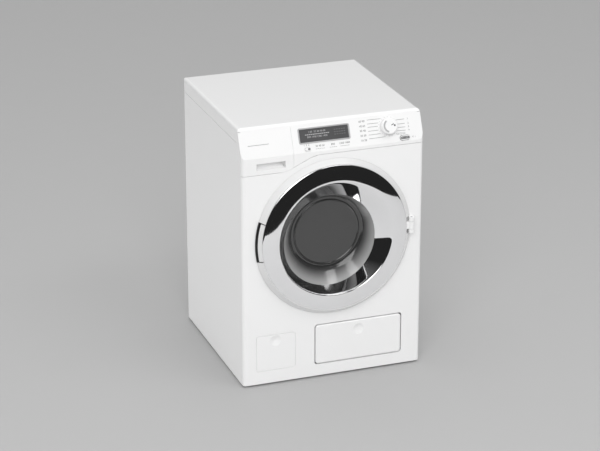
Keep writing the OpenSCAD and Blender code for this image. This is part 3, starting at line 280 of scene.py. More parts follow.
# Smoke-tinted polycarbonate: a grey body under a clear, hard gloss, with painted light in its colour, pale at the rim
# and dark at the bowl's floor.
SMOKED = TintWithPaintedLight("Smoked clear polycarbonate", "3a3a3a", "c4c4c4", 0.15, spread=0.01, ior=1.58, coat=0.35, transmission=0.3, grain=4.0, relief=0.0008)
# Printed and hard-coated window over the display: dark grey glass look.
LENS = Finish("Hard-coated polycarbonate lens", "555556", "5a5a5b", 0.1, spread=0.01, ior=1.58, coat=0.3, relief=0.001)
# Pale tint of the display's lit segments behind the window.
SEGMENT = Finish("Liquid-crystal segment pale", "b4b4b5", "bababb", 0.3, relief=0.001)
# Segments that are off show as a shade of the window.
UNLIT = Finish("Liquid-crystal segment unlit", "6c6c6d", "707071", 0.3, relief=0.001)
# Painted frame of the window: mid grey, half gloss; the same grey paints the shade on the dial's cap.
FRAME_GREY_AND_PAINTED_SHADE = Finish("Painted ABS grey for frame and dial shade", "b2b2b3", "b8b8b9", 0.36)
# Painted shadow: a black sheet lining the finger recess, where the gap is only in shade.
RECESS_PAINTED_SHADOW = Finish("Spark-textured black painted shadow", "161617", "1c1c1d", 0.6, relief=0.02)
# Slate keys: polished top, moulded through.
KEY_ABS = Finish("Gloss moulded ABS slate", "7a7a7b", "747475", 0.25)
# The module behind the window.
MODULE = Finish("Black liquid-crystal module", "17191b", "1f2124", 0.4)
# Solder mask over glass weave: green with a fine weave in relief.
BOARD = Finish("Glass-epoxy laminate green", "1f5a36", "184a2c", 0.38, cloud=5, relief=0.01)
# Phenolic switch bodies and chips: dull black.
SWITCH = Finish("Moulded phenolic black", "242424", "2e2e2e", 0.45)
# Natural nylon: milky, faintly yellow.
NYLON = Finish("Moulded nylon natural", "e2e1da", "d8d6cf", 0.45)
# Acetal runs dry against metal and looks like soft wax.
ACETAL = Finish("Moulded acetal grey", "8d9094", "7f8286", 0.45)
# Polypropylene tub: matt grey with flow marks.
TUB_PP = Finish("Moulded polypropylene grey", "9a9da1", "8d9094", 0.5, relief=0.01)
# Soft vinyl hose.
HOSE = Finish("Moulded vinyl hose grey", "6f7276", "64676b", 0.5)
# Neoprene belt: black and dusty.
BELT = Finish("Moulded neoprene black", "222224", "2a2a2c", 0.75, relief=0.03)
# Oil-filled bronze bush: open pores.
BRONZE = Finish("Sintered bronze", "a77f4a", "8f6b3c", 0.45, metallic=1.0, relief=0.02)
# Deep-drawn can: draw lines run along it.
MOTOR = Finish("Drawn steel can zinc-plated", "b1b3b6", "9fa1a5", 0.3, metallic=1.0, run=Grain.BRUSHED_Y)
# Nickel plating on spring wire.
CONTACT = Finish("Nickel-plated spring steel", "cfcfc8", "bdbdb6", 0.22, metallic=1.0)
# Pressed paper: fibres show as a coarse relief.
SPEAKER = Finish("Pressed paper cone black", "262627", "303031", 0.7, relief=0.03)
# Grey screen printing: a flat film with a dull edge.
INK = Finish("Screen-printed ink grey", "646465", "6c6c6d", 0.5)
# The lighter print of lead lines and small marks.
PALE_INK = Finish("Screen-printed ink pale grey", "8c8c8d", "949495", 0.5)

WEARS: dict[Finish, tuple[str, ...]] = {
    GLOSS_ABS: ("cabinet", "door_hinge_arm", "hinge_bracket", "top_cover", "service_flap", "program_dial"),
    DOOR_ABS_PAINTED_SHADE: ("door_band", "door_handle"),
    PANEL_ABS_PAINTED_SHADE: ("control_fascia", "drawer_front", "start_key_cap"),
    SATIN_ABS: ("rear_panel", "battery_door", "door_inner_ring", "door_hook", "door_catch", "flap_niche", "drum_paddles"),
    GREY_ABS: ("base_plate", "battery_box", "drain_sump"),
    RUBBER: ("feet",),
    STEEL: ("casing_screws", "door_screws", "battery_screw"),
    FRAME_GREY_AND_PAINTED_SHADE: ("display_rim",),
    LENS: ("display_window",),
    MODULE: ("display_module",),
    BOARD: ("circuit_board",),
    SWITCH: ("key_switches", "dial_encoder"),
    KEY_ABS: ("power_key_cap",),
    NYLON: ("drawer_tray", "drawer_housing"),
    HOSE: ("fill_hose", "drain_hose"),
    CHROME: ("door_ring",),
    SMOKED: ("door_glass",),
    ACETAL: ("drum_pulley", "motor_pulley", "filter_cap"),
    PINS: ("hinge_pin", "flap_pins", "drum_shaft", "motor_shaft"),
    SEAL_RUBBER: ("door_seal",),
    TUB_PP: ("tub_front", "tub_rear"),
    GALVANISED: ("tub_cradle", "motor_bracket"),
    DRUM_METAL: ("drum", "drum_hub_cap"),
    BRONZE: ("bearing_bush",),
    BELT: ("drive_belt",),
    MOTOR: ("motor",),
    CONTACT: ("battery_contacts",),
    SPEAKER: ("loudspeaker",),
}


def dress() -> None:
    """Gives every node of the frame its finish."""
    bare = set(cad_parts)
    for finish, names in WEARS.items():
        for name in names:
            bare.discard(name)
            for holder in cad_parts[name].material_slots:
                holder.material = finish.material()
    log.info("dressed the frame; left bare: %s", sorted(bare))


class Repeat(Enum):
    """The ways in which a small shape is repeated or grown by Geometry Nodes, with the inputs of each."""

    ARC = {"Count": "NodeSocketInt", "Radius": "NodeSocketFloat", "First": "NodeSocketFloat", "Step": "NodeSocketFloat"}
    ROW = {"Count": "NodeSocketInt", "Pitch": "NodeSocketVector"}
    BELLOWS = {
        "Stations": "NodeSocketInt",
        "Radius": "NodeSocketFloat",
        "Wall": "NodeSocketFloat",
        "Depth": "NodeSocketFloat",
        "Folds": "NodeSocketFloat",
        "Fold": "NodeSocketFloat",
    }
    COIL = {
        "Turns": "NodeSocketFloat",
        "Foot": "NodeSocketFloat",
        "Top": "NodeSocketFloat",
        "Height": "NodeSocketFloat",
        "Wire": "NodeSocketFloat",
    }

    def tree(self) -> bpy.types.NodeTree:
        """Builds the tree once.

        Returns:
            The tree, which ends in Realize Instances and Set Material.
        """
        name = "grow_" + self.name.lower()
        found = bpy.data.node_groups.get(name)
        if found:
            return found
        made = bpy.data.node_groups.new(name, "GeometryNodeTree")
        made.interface.new_socket("Geometry", in_out="INPUT", socket_type="NodeSocketGeometry")
        for label, kind in self.value.items():
            made.interface.new_socket(label, in_out="INPUT", socket_type=kind)
        made.interface.new_socket("Finish", in_out="INPUT", socket_type="NodeSocketMaterial")
        made.interface.new_socket("Geometry", in_out="OUTPUT", socket_type="NodeSocketGeometry")
        given = add(made, "NodeGroupInput").outputs
        body = {"ARC": arc_of, "ROW": row_of, "BELLOWS": bellows_of, "COIL": coil_of}[self.name](made, given)
        real = add(made, "GeometryNodeRealizeInstances", None, {0: body}).outputs[0]
        done = add(made, "GeometryNodeSetMaterial", None, {"Geometry": real, "Material": given["Finish"]}).outputs[0]
        add(made, "NodeGroupOutput", None, {0: done})
        return made


def sums(tree: bpy.types.NodeTree, operation: str, a: Any, b: Any = 0.0) -> bpy.types.NodeSocket:
    """Joins two numbers or number sockets by one operation of the Math node."""
    return add(tree, "ShaderNodeMath", {"operation": operation}, {0: a, 1: b}).outputs[0]


def arc_of(tree: bpy.types.NodeTree, given: Any) -> bpy.types.NodeSocket:
    """Copies of a shape on an arc about Z, each turned outwards.

    Args:
        tree: the tree that is built.
        given: its inputs.

    Returns:
        The instances.
    """
    index = add(tree, "GeometryNodeInputIndex").outputs[0]
    angle = sums(tree, "ADD", sums(tree, "MULTIPLY", index, given["Step"]), given["First"])
    across = sums(tree, "MULTIPLY", sums(tree, "COSINE", angle), given["Radius"])
    up = sums(tree, "MULTIPLY", sums(tree, "SINE", angle), given["Radius"])
    spot = add(tree, "ShaderNodeCombineXYZ", None, {0: across, 1: up}).outputs[0]
    line = add(tree, "GeometryNodeMeshLine", {"mode": "OFFSET"}, {"Count": given["Count"]}).outputs[0]
    set_out = add(tree, "GeometryNodeSetPosition", None, {"Geometry": line, "Position": spot}).outputs[0]
    euler = add(tree, "ShaderNodeCombineXYZ", None, {2: angle}).outputs[0]
    turn = add(tree, "FunctionNodeEulerToRotation", None, {0: euler}).outputs[0]
    wires = {"Points": set_out, "Instance": given["Geometry"], "Rotation": turn}
    return add(tree, "GeometryNodeInstanceOnPoints", None, wires).outputs[0]


def row_of(tree: bpy.types.NodeTree, given: Any) -> bpy.types.NodeSocket:
    """Copies of a shape in a straight row from its own place.

    Args:
        tree: the tree that is built.
        given: its inputs.

    Returns:
        The instances.
    """
    wires = {"Count": given["Count"], "Offset": given["Pitch"]}
    line = add(tree, "GeometryNodeMeshLine", {"mode": "OFFSET"}, wires).outputs[0]
    return add(tree, "GeometryNodeInstanceOnPoints", None, {"Points": line, "Instance": given["Geometry"]}).outputs[0]


def bellows_of(tree: bpy.types.NodeTree, given: Any) -> bpy.types.NodeSocket:
    """A closed round sleeve whose wall runs in and out as a sine along its depth.

    A grid is rolled up: its rows go round the axis, its columns go down the
    inner face and back up the outer face.

    Args:
        tree: the tree that is built.
        given: its inputs.

    Returns:
        The sleeve.
    """
    sizes = {"Size X": 1.0, "Size Y": 1.0, "Vertices X": given["Stations"], "Vertices Y": 97}
    grid = add(tree, "GeometryNodeMeshGrid", None, sizes).outputs[0]
    where = add(tree, "ShaderNodeSeparateXYZ", None, {0: add(tree, "GeometryNodeInputPosition").outputs[0]}).outputs
    angle = sums(tree, "MULTIPLY", sums(tree, "ADD", where[0], 0.5), 2 * math.pi)
    # The share goes from 0 to 1 and back: down inside, up outside.
    share = sums(tree, "SUBTRACT", 1.0, sums(tree, "ABSOLUTE", sums(tree, "MULTIPLY", where[1], 2.0)))
    # The last row comes back to the inner face, where it meets the first one.
    beyond = sums(tree, "GREATER_THAN", where[1], 0.0)
    outside = sums(tree, "MULTIPLY", beyond, sums(tree, "LESS_THAN", where[1], 0.4999))
    wave = sums(tree, "SINE", sums(tree, "MULTIPLY", sums(tree, "MULTIPLY", share, given["Folds"]), 2 * math.pi))
    ends = sums(tree, "SINE", sums(tree, "MULTIPLY", share, math.pi))
    rise = sums(tree, "MULTIPLY", sums(tree, "MULTIPLY", wave, ends), given["Fold"])
    radius = sums(tree, "ADD", sums(tree, "ADD", given["Radius"], rise), sums(tree, "MULTIPLY", outside, given["Wall"]))
    across = sums(tree, "MULTIPLY", sums(tree, "COSINE", angle), radius)
    up = sums(tree, "MULTIPLY", sums(tree, "SINE", angle), radius)
    down = sums(tree, "MULTIPLY", sums(tree, "MULTIPLY", share, given["Depth"]), -1.0)
    spot = add(tree, "ShaderNodeCombineXYZ", None, {0: across, 1: up, 2: down}).outputs[0]
    rolled = add(tree, "GeometryNodeSetPosition", None, {"Geometry": grid, "Position": spot}).outputs[0]
    return add(tree, "GeometryNodeMergeByDistance", None, {"Geometry": rolled, "Distance": 0.001}).outputs[0]


def coil_of(tree: bpy.types.NodeTree, given: Any) -> bpy.types.NodeSocket:
    """A wire wound into a conical spring, closed at both ends.

    Args:
        tree: the tree that is built.
        given: its inputs.

    Returns:
        The spring.
    """
    wires = {
        "Resolution": 20,
        "Rotations": given["Turns"],
        "Start Radius": given["Foot"],
        "End Radius": given["Top"],
        "Height": given["Height"],
    }
    path = add(tree, "GeometryNodeCurveSpiral", None, wires).outputs[0]
    round_wire = add(tree, "GeometryNodeCurvePrimitiveCircle", None, {"Resolution": 8, "Radius": given["Wire"]}).outputs[0]
    return add(tree, "GeometryNodeCurveToMesh", None, {"Curve": path, "Profile Curve": round_wire, "Fill Caps": True}).outputs[0]


class Shape:
    """Points and faces of one piece in millimetres, gathered before it is made."""

    def __init__(self) -> None:
        """Starts an empty shape."""
        self.points: list[Vector] = []
        self.faces: list[tuple[int, ...]] = []

    def skin(self, rings: Sequence[Sequence[Vector]], closed: bool = False) -> "Shape":
        """Joins rings of points, each a closed loop, into one skin.

        Args:
            rings: the loops, all of one length.
            closed: whether the last ring joins the first, else both ends are capped.

        Returns:
            The shape itself.
        """
        first, size, count = len(self.points), len(rings[0]), len(rings)
        for loop in rings:
            self.points.extend(loop)
        for i in range(count if closed else count - 1):
            a, b = first + i * size, first + (i + 1) % count * size
            for j in range(size):
                k = (j + 1) % size
                self.faces.append((a + j, a + k, b + k, b + j))
        if not closed:
            self.faces.append(tuple(range(first, first + size)))
            self.faces.append(tuple(range(first + (count - 1) * size, first + count * size)))
        return self

    def stack(self, levels: Sequence[tuple[Loop, float]]) -> "Shape":
        """Joins flat outlines at rising heights and caps both ends."""
        return self.skin([[Vector((x, y, h)) for x, y in outline] for outline, h in levels])

    def plate(self, outline: Loop, low: float, high: float) -> "Shape":
        """Adds a flat plate with straight sides between two heights."""
        return self.stack([(outline, low), (outline, high)])

    def turned(self, profile: Sequence[Station], steps: int, span: tuple[float, float] = (0.0, 360.0)) -> "Shape":
        """A closed skin turned about Z, whose centre may wander with height.

        Args:
            profile: a closed loop of radius, height, and the centre's shift along X and Y.
            steps: how many stations the turn has.
            span: first and last angle in degrees.

        Returns:
            The shape itself.
        """
        whole = span[1] - span[0] >= 360
        rings = []
        for i in range(steps if whole else steps + 1):
            a = math.radians(span[0] + (span[1] - span[0]) * i / steps)
            rings.append([Vector((cx + r * math.cos(a), cy + r * math.sin(a), h)) for r, h, cx, cy in profile])
        return self.skin(rings, whole)

    def lathe(self, profile: Loop, steps: int = 48, span: tuple[float, float] = (0.0, 360.0)) -> "Shape":
        """Turns a closed loop of radius and height about Z."""
        return self.turned([(r, h, 0.0, 0.0) for r, h in profile], steps, span)

    def ribbon(self, path: Loop, width: float, low: float, high: float) -> "Shape":
        """A flat strip of one width along a path.

        Args:
            path: its middle line.
            width: its width.
            low: height of its underside.
            high: height of its top.

        Returns:
            The shape itself.
        """
        rings = []
        for i, (x, y) in enumerate(path):
            back, ahead = path[max(i - 1, 0)], path[min(i + 1, len(path) - 1)]
            way = Vector((ahead[0] - back[0], ahead[1] - back[1])).normalized() * width / 2
            rings.append([Vector((x + s * way.y, y - s * way.x, h)) for s, h in ((-1, low), (1, low), (1, high), (-1, high))])
        return self.skin(rings)

    def lettering(self, words: str, x: float, y: float, tall: float, low: float, high: float) -> "Shape":
        """Adds plain numerals or signs, centred on a point.

        Args:
            words: what is written.
            x: the middle, across.
            y: the middle, up.
            tall: height of a numeral.
            low: height of the underside.
            high: height of the top.

        Returns:
            The shape itself.
        """
        curve = bpy.data.curves.new("lettering", "FONT")
        curve.body = words
        curve.align_x = "CENTER"
        curve.align_y = "CENTER"
        curve.size = tall / 0.7
        curve.extrude = (high - low) / 2
        curve.resolution_u = 3
        holder = bpy.data.objects.new("lettering", curve)
        bpy.context.scene.collection.objects.link(holder)
        bpy.context.view_layer.update()
        flat = bpy.data.meshes.new_from_object(holder.evaluated_get(bpy.context.evaluated_depsgraph_get()))
        bpy.data.objects.remove(holder)
        self.take(flat, Matrix.Translation((x, y, (low + high) / 2)))
        return self

    def take(self, mesh: bpy.types.Mesh, place: Matrix) -> None:
        """Adds a mesh's points and faces, moved to a place, and drops the mesh."""
        first = len(self.points)
        self.points.extend(place @ point.co for point in mesh.vertices)
        self.faces.extend(tuple(first + i for i in face.vertices) for face in mesh.polygons)
        bpy.data.meshes.remove(mesh)

    def join(self, other: "Shape", place: Matrix | None = None) -> "Shape":
        """Adds another shape, moved to a place."""
        first = len(self.points)
        self.points.extend(place @ point if place else point.copy() for point in other.points)
        self.faces.extend(tuple(first + i for i in face) for face in other.faces)
        return self

    def mesh(self, name: str) -> bpy.types.Mesh:
        """Makes a mesh of the shape as it stands."""
        made = bpy.data.meshes.new(name)
        made.from_pydata(self.points, [], self.faces)
        return made

    def grown(self, way: Repeat, finish: Finish, **sizes: Any) -> "Shape":
        """Runs a Geometry Nodes tree on the shape.

        Args:
            way: which tree.
            finish: the material that the tree sets.
            sizes: a value for each of the tree's inputs.

        Returns:
            The result as a new shape.
        """
        holder = bpy.data.objects.new("grown", self.mesh("grown"))
        bpy.context.scene.collection.objects.link(holder)
        nodes = holder.modifiers.new("repeat", "NODES")
        nodes.node_group = way.tree()
        for socket in nodes.node_group.interface.items_tree:
            if socket.in_out == "INPUT" and socket.name in sizes:
                nodes[socket.identifier] = sizes[socket.name]
            elif socket.in_out == "INPUT" and socket.name == "Finish":
                nodes[socket.identifier] = finish.material()
        bpy.context.view_layer.update()
        graph = bpy.context.evaluated_depsgraph_get()
        plain = bpy.data.meshes.new_from_object(holder.evaluated_get(graph), depsgraph=graph)
        holder.modifiers.clear()
        bpy.data.objects.remove(holder)
        made = Shape()
        made.take(plain, Matrix.Identity(4))
        return made

    def piece(
        self, name: str, body: str, finish: Finish, place: Matrix, slot: str = "", smooth: float = 35.0, stands_for: str = ""
    ) -> bpy.types.Object:
        """Closes the shape, turns its faces outwards and hangs it on its body.

        Args:
            name: the piece's name.
            body: the CAD body it moves with.
            finish: its material.
            place: where it goes, from millimetres to metres.
            slot: not used.
            smooth: degrees between faces from which an edge shows.
            stands_for: the CAD node it replaces, if any.

        Returns:
            The finished object.
        """
        mesh = self.mesh(name)
        mesh.transform(place)
        work = bmesh.new()
        work.from_mesh(mesh)
        bmesh.ops.remove_doubles(work, verts=work.verts, dist=2e-6)
        bmesh.ops.dissolve_degenerate(work, edges=work.edges, dist=1e-7)
        bmesh.ops.delete(work, geom=[edge for edge in work.edges if edge.is_wire], context="EDGES")
        bmesh.ops.recalc_face_normals(work, faces=work.faces)
        open_edges = sum(not edge.is_manifold for edge in work.edges)
        work.to_mesh(mesh)
        work.free()
        mesh.materials.append(finish.material())
        mesh.shade_smooth()
        mesh.set_sharp_from_angle(angle=math.radians(smooth))
        made = bpy.data.objects.new(name, mesh)
        bpy.context.scene.collection.objects.link(made)
        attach(made, body)
        if stands_for:
            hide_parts(stands_for)
        log.info("%s: %d faces on %s, %d edges open", name, len(mesh.polygons), body, open_edges)
        return made


def rounded(cx: float, cy: float, wide: float, tall: float, r: float, steps: int = 5) -> list[tuple[float, float]]:
    """Outline of a rectangle with round corners.

    Args:
        cx: its middle, across.
        cy: its middle, up.
        wide: its width.
        tall: its height.
        r: radius of the corners.
        steps: parts of each corner.

    Returns:
        Its points, anticlockwise.
    """
    out = []
    for sx, sy, start in ((1, 1, 0), (-1, 1, 90), (-1, -1, 180), (1, -1, 270)):
        for i in range(steps + 1):
            a = math.radians(start + 90 * i / steps)
            out.append((cx + sx * (wide / 2 - r) + r * math.cos(a), cy + sy * (tall / 2 - r) + r * math.sin(a)))
    return out


def circle(cx: float, cy: float, r: float, steps: int = 32) -> list[tuple[float, float]]:
    """Outline of a circle."""
    return [(cx + r * math.cos(2 * math.pi * i / steps), cy + r * math.sin(2 * math.pi * i / steps)) for i in range(steps)]


def screw(head: float, thick: float, shank: float, long: float) -> Shape:
    """A pan-head screw with a cross recess, its head's underside at the origin.

    Args:
        head: radius of the head.
        thick: height of the head.
        shank: radius of the shank.
        long: length of the shank.

    Returns:
        The shape, its head towards +Z.
    """
    arm, half = head * 0.62, head * 0.13
    cross = []
    for k in range(4):
        a = math.pi / 2 * k
        for u, v in ((half, -half), (arm, -half), (arm, half)):
            cross.append((u * math.cos(a) - v * math.sin(a), u * math.sin(a) + v * math.cos(a)))
    reach = [math.atan2(y, x) for x, y in cross]

    def band(r: float) -> list[tuple[float, float]]:
        """Points at one radius, in line with those of the cross."""
        return [(r * math.cos(a), r * math.sin(a)) for a in reach]

    deep = [(0.6 * x, 0.6 * y) for x, y in cross]
    levels = [
        (band(0.3 * shank), -long),
        (band(shank), -long + 1.2 * shank),
        (band(shank), -0.01),
        (band(head), 0.0),
        (band(head), thick * 0.35),
        (band(head * 0.93), thick * 0.72),
        (band(head * 0.78), thick * 0.95),
        (cross, thick),
        (deep, thick * 0.35),
    ]
    return Shape().stack(levels)


@dataclass
class Casing:
    """The shell's small parts: feet, screws and the strips behind its seams."""

    half: float = 92.0
    foot_r: float = 7.0
    foot_in: float = 14.0
    foot_h: float = 2.0
    head_r: float = 2.6
    head_t: float = 1.2
    shank_r: float = 1.2
    shank_l: float = 7.8
    boss_x: float = 86.1
    rear_rows: tuple[float, ...] = (18.6, 126.3, 230.0)
    base_rows: tuple[float, float] = (-79.1, 88.1)
    panel_top: float = 26.18
    drawer_x: float = -40.0
    seam: float = 0.4

    def build(self) -> None:
        """Makes the feet, the screws and the seam strip."""
        self.feet()
        self.screws()
        self.seam_strip()

    def feet(self) -> None:
        """Four round rubber pads with a rounded rim and ring treads underneath."""
        r, h = self.foot_r, self.foot_h
        tread = [(0.0, 0.25), (1.2, 0.25), (1.4, 0.0), (2.4, 0.0), (2.6, 0.25), (3.4, 0.25), (3.6, 0.0), (4.6, 0.0), (4.8, 0.25)]
        rim = [(5.5, 0.25), (5.7, 0.0), (r - 0.5, 0.0), (r - 0.15, 0.15), (r, 0.5), (r, h), (r / 2, h), (r / 2, h + 2.6), (0.0, h + 2.6)]
        pad = Shape().lathe(tread + rim, 40)
        x, y = self.half - self.foot_in, (FRONT_Y + self.foot_in, BACK_Y - self.foot_in)
        pair = pad.grown(Repeat.ROW, RUBBER, Count=2, Pitch=(2 * x, 0.0, 0.0))
        four = pair.grown(Repeat.ROW, RUBBER, Count=2, Pitch=(0.0, y[1] - y[0], 0.0))
        four.piece("rubber_foot_pads", "casing", RUBBER, Face.LEVEL.seat(-x, y[0], 0.0), "rubber_feet", stands_for="feet")

    def screws(self) -> None:
        """Six screws in the back and four in the base, all sunk flush."""
        one = screw(self.head_r, self.head_t, self.shank_r, self.shank_l)
        low, mid, high = self.rear_rows
        all_ten = Shape()
        for start, count, pitch in ((low, 2, mid - low), (high, 1, 0.0)):
            column = one.grown(Repeat.ROW, STEEL, Count=count, Pitch=(0.0, pitch, 0.0))
            pair = column.grown(Repeat.ROW, STEEL, Count=2, Pitch=(2 * self.boss_x, 0.0, 0.0))
            all_ten.join(pair, Face.BACK.seat(-self.boss_x, start, -self.head_t))
        pair = one.grown(Repeat.ROW, STEEL, Count=2, Pitch=(2 * self.boss_x, 0.0, 0.0))
        gap = self.base_rows[1] - self.base_rows[0]
        four = pair.grown(Repeat.ROW, STEEL, Count=2, Pitch=(0.0, gap, 0.0))
        all_ten.join(four, Face.UNDER.seat(-self.boss_x, -self.base_rows[1], -self.foot_h - self.head_t))
        all_ten.piece("cross_recess_screws", "casing", STEEL, Matrix.Identity(4), "screws", stands_for="casing_screws")

    def seam_strip(self) -> None:
        """A white lip low in the seam over the panel, so it reads as a fine line."""
        v = self.panel_top + self.seam / 2
        path = [(-self.half + 2.7, v), (self.half - 2.7, v)]
        strip = Shape().ribbon(path, self.seam + 0.5, -1.6, -0.22)
        strip.piece("panel_seam_lip", "casing", GLOSS_ABS, Face.PANEL.seat())
        tongue = Shape().ribbon([(0.0, 1.2), (0.0, self.panel_top - 0.3)], 0.3, -1.8, -0.35)
        tongue.piece("drawer_seam_tongue_high", "casing", GLOSS_ABS, Face.PANEL.seat(self.drawer_x))
        tongue = Shape().ribbon([(0.0, 219.4), (0.0, PANEL_Z)], 0.3, -1.8, -0.35)
        tongue.piece("drawer_seam_tongue_low", "casing", GLOSS_ABS, Face.FRONT.seat(self.drawer_x))


@dataclass
class ControlPanel:
    """Printing, display and dial of the sloping panel."""

    window: tuple[float, float, float, float] = (-7.5, 15.9, 49.0, 12.3)
    rim: float = 1.4
    rim_stand: float = 0.5
    dial: tuple[float, float] = (57.4, 15.7)
    dial_r: float = 8.0
    dial_h: float = 6.0
    dial_gap: float = 0.4
    power: tuple[float, float] = (73.2, 3.2)
    start: tuple[float, float] = (-25.5, 3.2)
    key_stand: float = 0.8
    film: float = 0.05

    def build(self) -> None:
        """Makes the display, the dial, the prints and the keys' signs."""
        self.display()
        self.dial_cap()
        self.leads()
        self.labels()
        self.key_signs()

    def flat(self) -> tuple[float, float]:
        """Heights of a print's underside and top."""
        return (-0.02, self.film)

    def display(self) -> None:
        """The bevelled frame of the window and the segments behind it."""
        x, v, wide, tall = self.window
        frame_piece = Shape()
        rings = []
        for grow, n in ((self.rim, 0.0), (self.rim, self.rim_stand - 0.2), (self.rim - 0.25, self.rim_stand), (0.3, self.rim_stand), (0.0, 0.05), (0.0, 0.0)):
            rings.append([Vector((px, py, n)) for px, py in rounded(x, v, wide + 2 * grow, tall + 2 * grow, 0.3 + max(grow, 0.01))])
        frame_piece.skin(rings, True)
        frame_piece.piece("display_frame_bevel", "casing", FRAME_GREY_AND_PAINTED_SHADE, Face.PANEL.seat(), "display_frame", stands_for="display_rim")
        bar = Shape().plate(rounded(0, 0, 1.5, 0.8, 0.2, 2), 0.0, self.film)
        gauge = bar.grown(Repeat.ROW, SEGMENT, Count=13, Pitch=(1.9, 0.0, 0.0))
        lit = Shape().join(gauge, Matrix.Translation((-25.8, 16.7, 0.0)))
        lit.lettering("1:45  20 30 40 60", -14.4, 19.1, 1.7, 0.0, self.film)
        lit.lettering("800 1000 1200 1400", -14.4, 14.3, 1.7, 0.0, self.film)
        lit.piece("display_segments", "casing", SEGMENT, Face.PANEL.seat(), "display_lens")
        dim = bar.grown(Repeat.ROW, UNLIT, Count=3, Pitch=(0.0, 2.3, 0.0)).grown(Repeat.ROW, UNLIT, Count=5, Pitch=(2.4, 0.0, 0.0))
        dim.piece("display_side_marks", "casing", UNLIT, Face.PANEL.seat(3.6, 14.4), "display_lens")

    def dial_cap(self) -> None:
        """Fine ribs round the dial, a grey crescent of painted shade on the cap's left, and its pointer."""
        r, low = self.dial_r, self.dial_gap
        rib = Shape().stack([(rounded(0, 0, 0.5, 0.34, 0.15, 2), low + 0.3), (rounded(0, 0, 0.3, 0.2, 0.09, 2), low + self.dial_h - 1.7)])
        count = 44
        ribs = rib.grown(Repeat.ARC, GLOSS_ABS, Count=count, Radius=r - 0.02, First=0.0, Step=2 * math.pi / count)
        ribs.piece("dial_ribs", "dial", GLOSS_ABS, Face.PANEL.seat(*self.dial), "dial")
        top = low + self.dial_h
        # painted shade: a grey crescent on the left of the cap, standing for the shade on the knob's left side
        shade_crescent = [(5.0, top - 0.05), (6.7, top - 0.05), (6.7, top + 0.03), (6.4, top + 0.1), (5.3, top + 0.1), (5.0, top + 0.03)]
        grey = Shape().lathe(shade_crescent, 40, (122.0, 252.0))
        grey.piece("dial_painted_shade", "dial", FRAME_GREY_AND_PAINTED_SHADE, Face.PANEL.seat(*self.dial), "dial")
        mark = Shape().plate(circle(4.8, 0.0, 0.9, 20), top - 0.65, top - 0.45)
        mark.ribbon([(1.2, 0.5), (3.9, 1.6)], 0.8, top - 0.02, top + 0.05)
        mark.piece("dial_pointer", "dial", INK, Face.PANEL.seat(*self.dial), "dial")

    def leads(self) -> None:
        """Lead lines from the dial to its numbers, the outer ones bent."""
        x, v = self.dial
        lines = Shape()
        for side, ends in ((-1, (24.0, 20.2, 17.0, 13.2, 9.6, 6.0)), (1, (21.0, 16.8, 13.4, 10.2))):
            for end in ends:
                slope = max(-0.95, min(0.95, (end - v) / 10.5))
                near = (x + side * 10.2 * math.cos(math.asin(slope)), v + 10.2 * slope)
                knee = (x + side * (12.6 + 1.5 * abs(slope)), end)
                far = (x + side * (20.5 if side < 0 else 17.5), end)
                bend = [tuple((1 - t) ** 2 * near[i] + 2 * t * (1 - t) * knee[i] + t * t * far[i] for i in (0, 1)) for t in (0, 0.15, 0.3, 0.45, 0.6, 0.8, 1)]
                lines.ribbon(bend, 0.42, *self.flat())
        tick = Shape().plate(rounded(0, 0, 0.9, 0.3, 0.1, 2), *self.flat())
        ticks = tick.grown(Repeat.ARC, PALE_INK, Count=19, Radius=9.2, First=math.radians(-110), Step=math.radians(220 / 9) / 2 * 1.6)
        lines.join(ticks, Matrix.Translation((x, v, 0.0)))
        lines.piece("dial_lead_lines", "casing", PALE_INK, Face.PANEL.seat())

    def labels(self) -> None:
        """Numbers by the dial and small signs over the keys."""
        x, v = self.dial
        print_on = Shape()
        for words, at in (("60 90", 23.2), ("40 60", 18.6), ("30 40", 14.2), ("20 30", 9.6), ("10 20", 5.0)):
            print_on.lettering(words, x - 25.9, at, 1.9, *self.flat())
        for words, at in (("1", 21.0), ("2", 16.8), ("3", 13.4), ("4", 10.2)):
            print_on.lettering(words, x + 20.9, at, 1.7, *self.flat())
        print_on.lettering("1  2  3", -26.4, 7.0, 1.5, *self.flat())
        print_on.lettering("30 40 60", -13.1, 5.2, 1.8, *self.flat())
        print_on.lettering("800", 0.0, 5.2, 1.8, *self.flat())
        print_on.lettering("1200 1400", 11.7, 5.2, 1.8, *self.flat())
        print_on.lettering("0  1", 82.6, 3.2, 1.5, *self.flat())
        print_on.piece("panel_numbers", "casing", INK, Face.PANEL.seat())
        ring = Shape()
        for cx in (66.4, 69.6, 72.8):
            rings = [[Vector((px, py, n)) for px, py in rounded(cx, 7.6, 2 * s, 1.5 * s, 0.3)] for s, n in ((1.15, -0.02), (1.15, self.film), (0.85, self.film), (0.85, -0.02))]
            ring.skin(rings, True)
        dash = Shape().plate(rounded(0, 0, 1.5, 0.35, 0.1, 2), *self.flat())
        for count, at, up in ((5, -16.9, 2.6), (4, -2.8, 2.6), (5, 7.9, 2.6)):
            ring.join(dash.grown(Repeat.ROW, PALE_INK, Count=count, Pitch=(1.9, 0.0, 0.0)), Matrix.Translation((at, up, 0.0)))
        ring.plate(rounded(-73.5, 12.5, 21.0, 0.45, 0.15, 2), *self.flat())
        ring.piece("panel_signs", "casing", PALE_INK, Face.PANEL.seat())

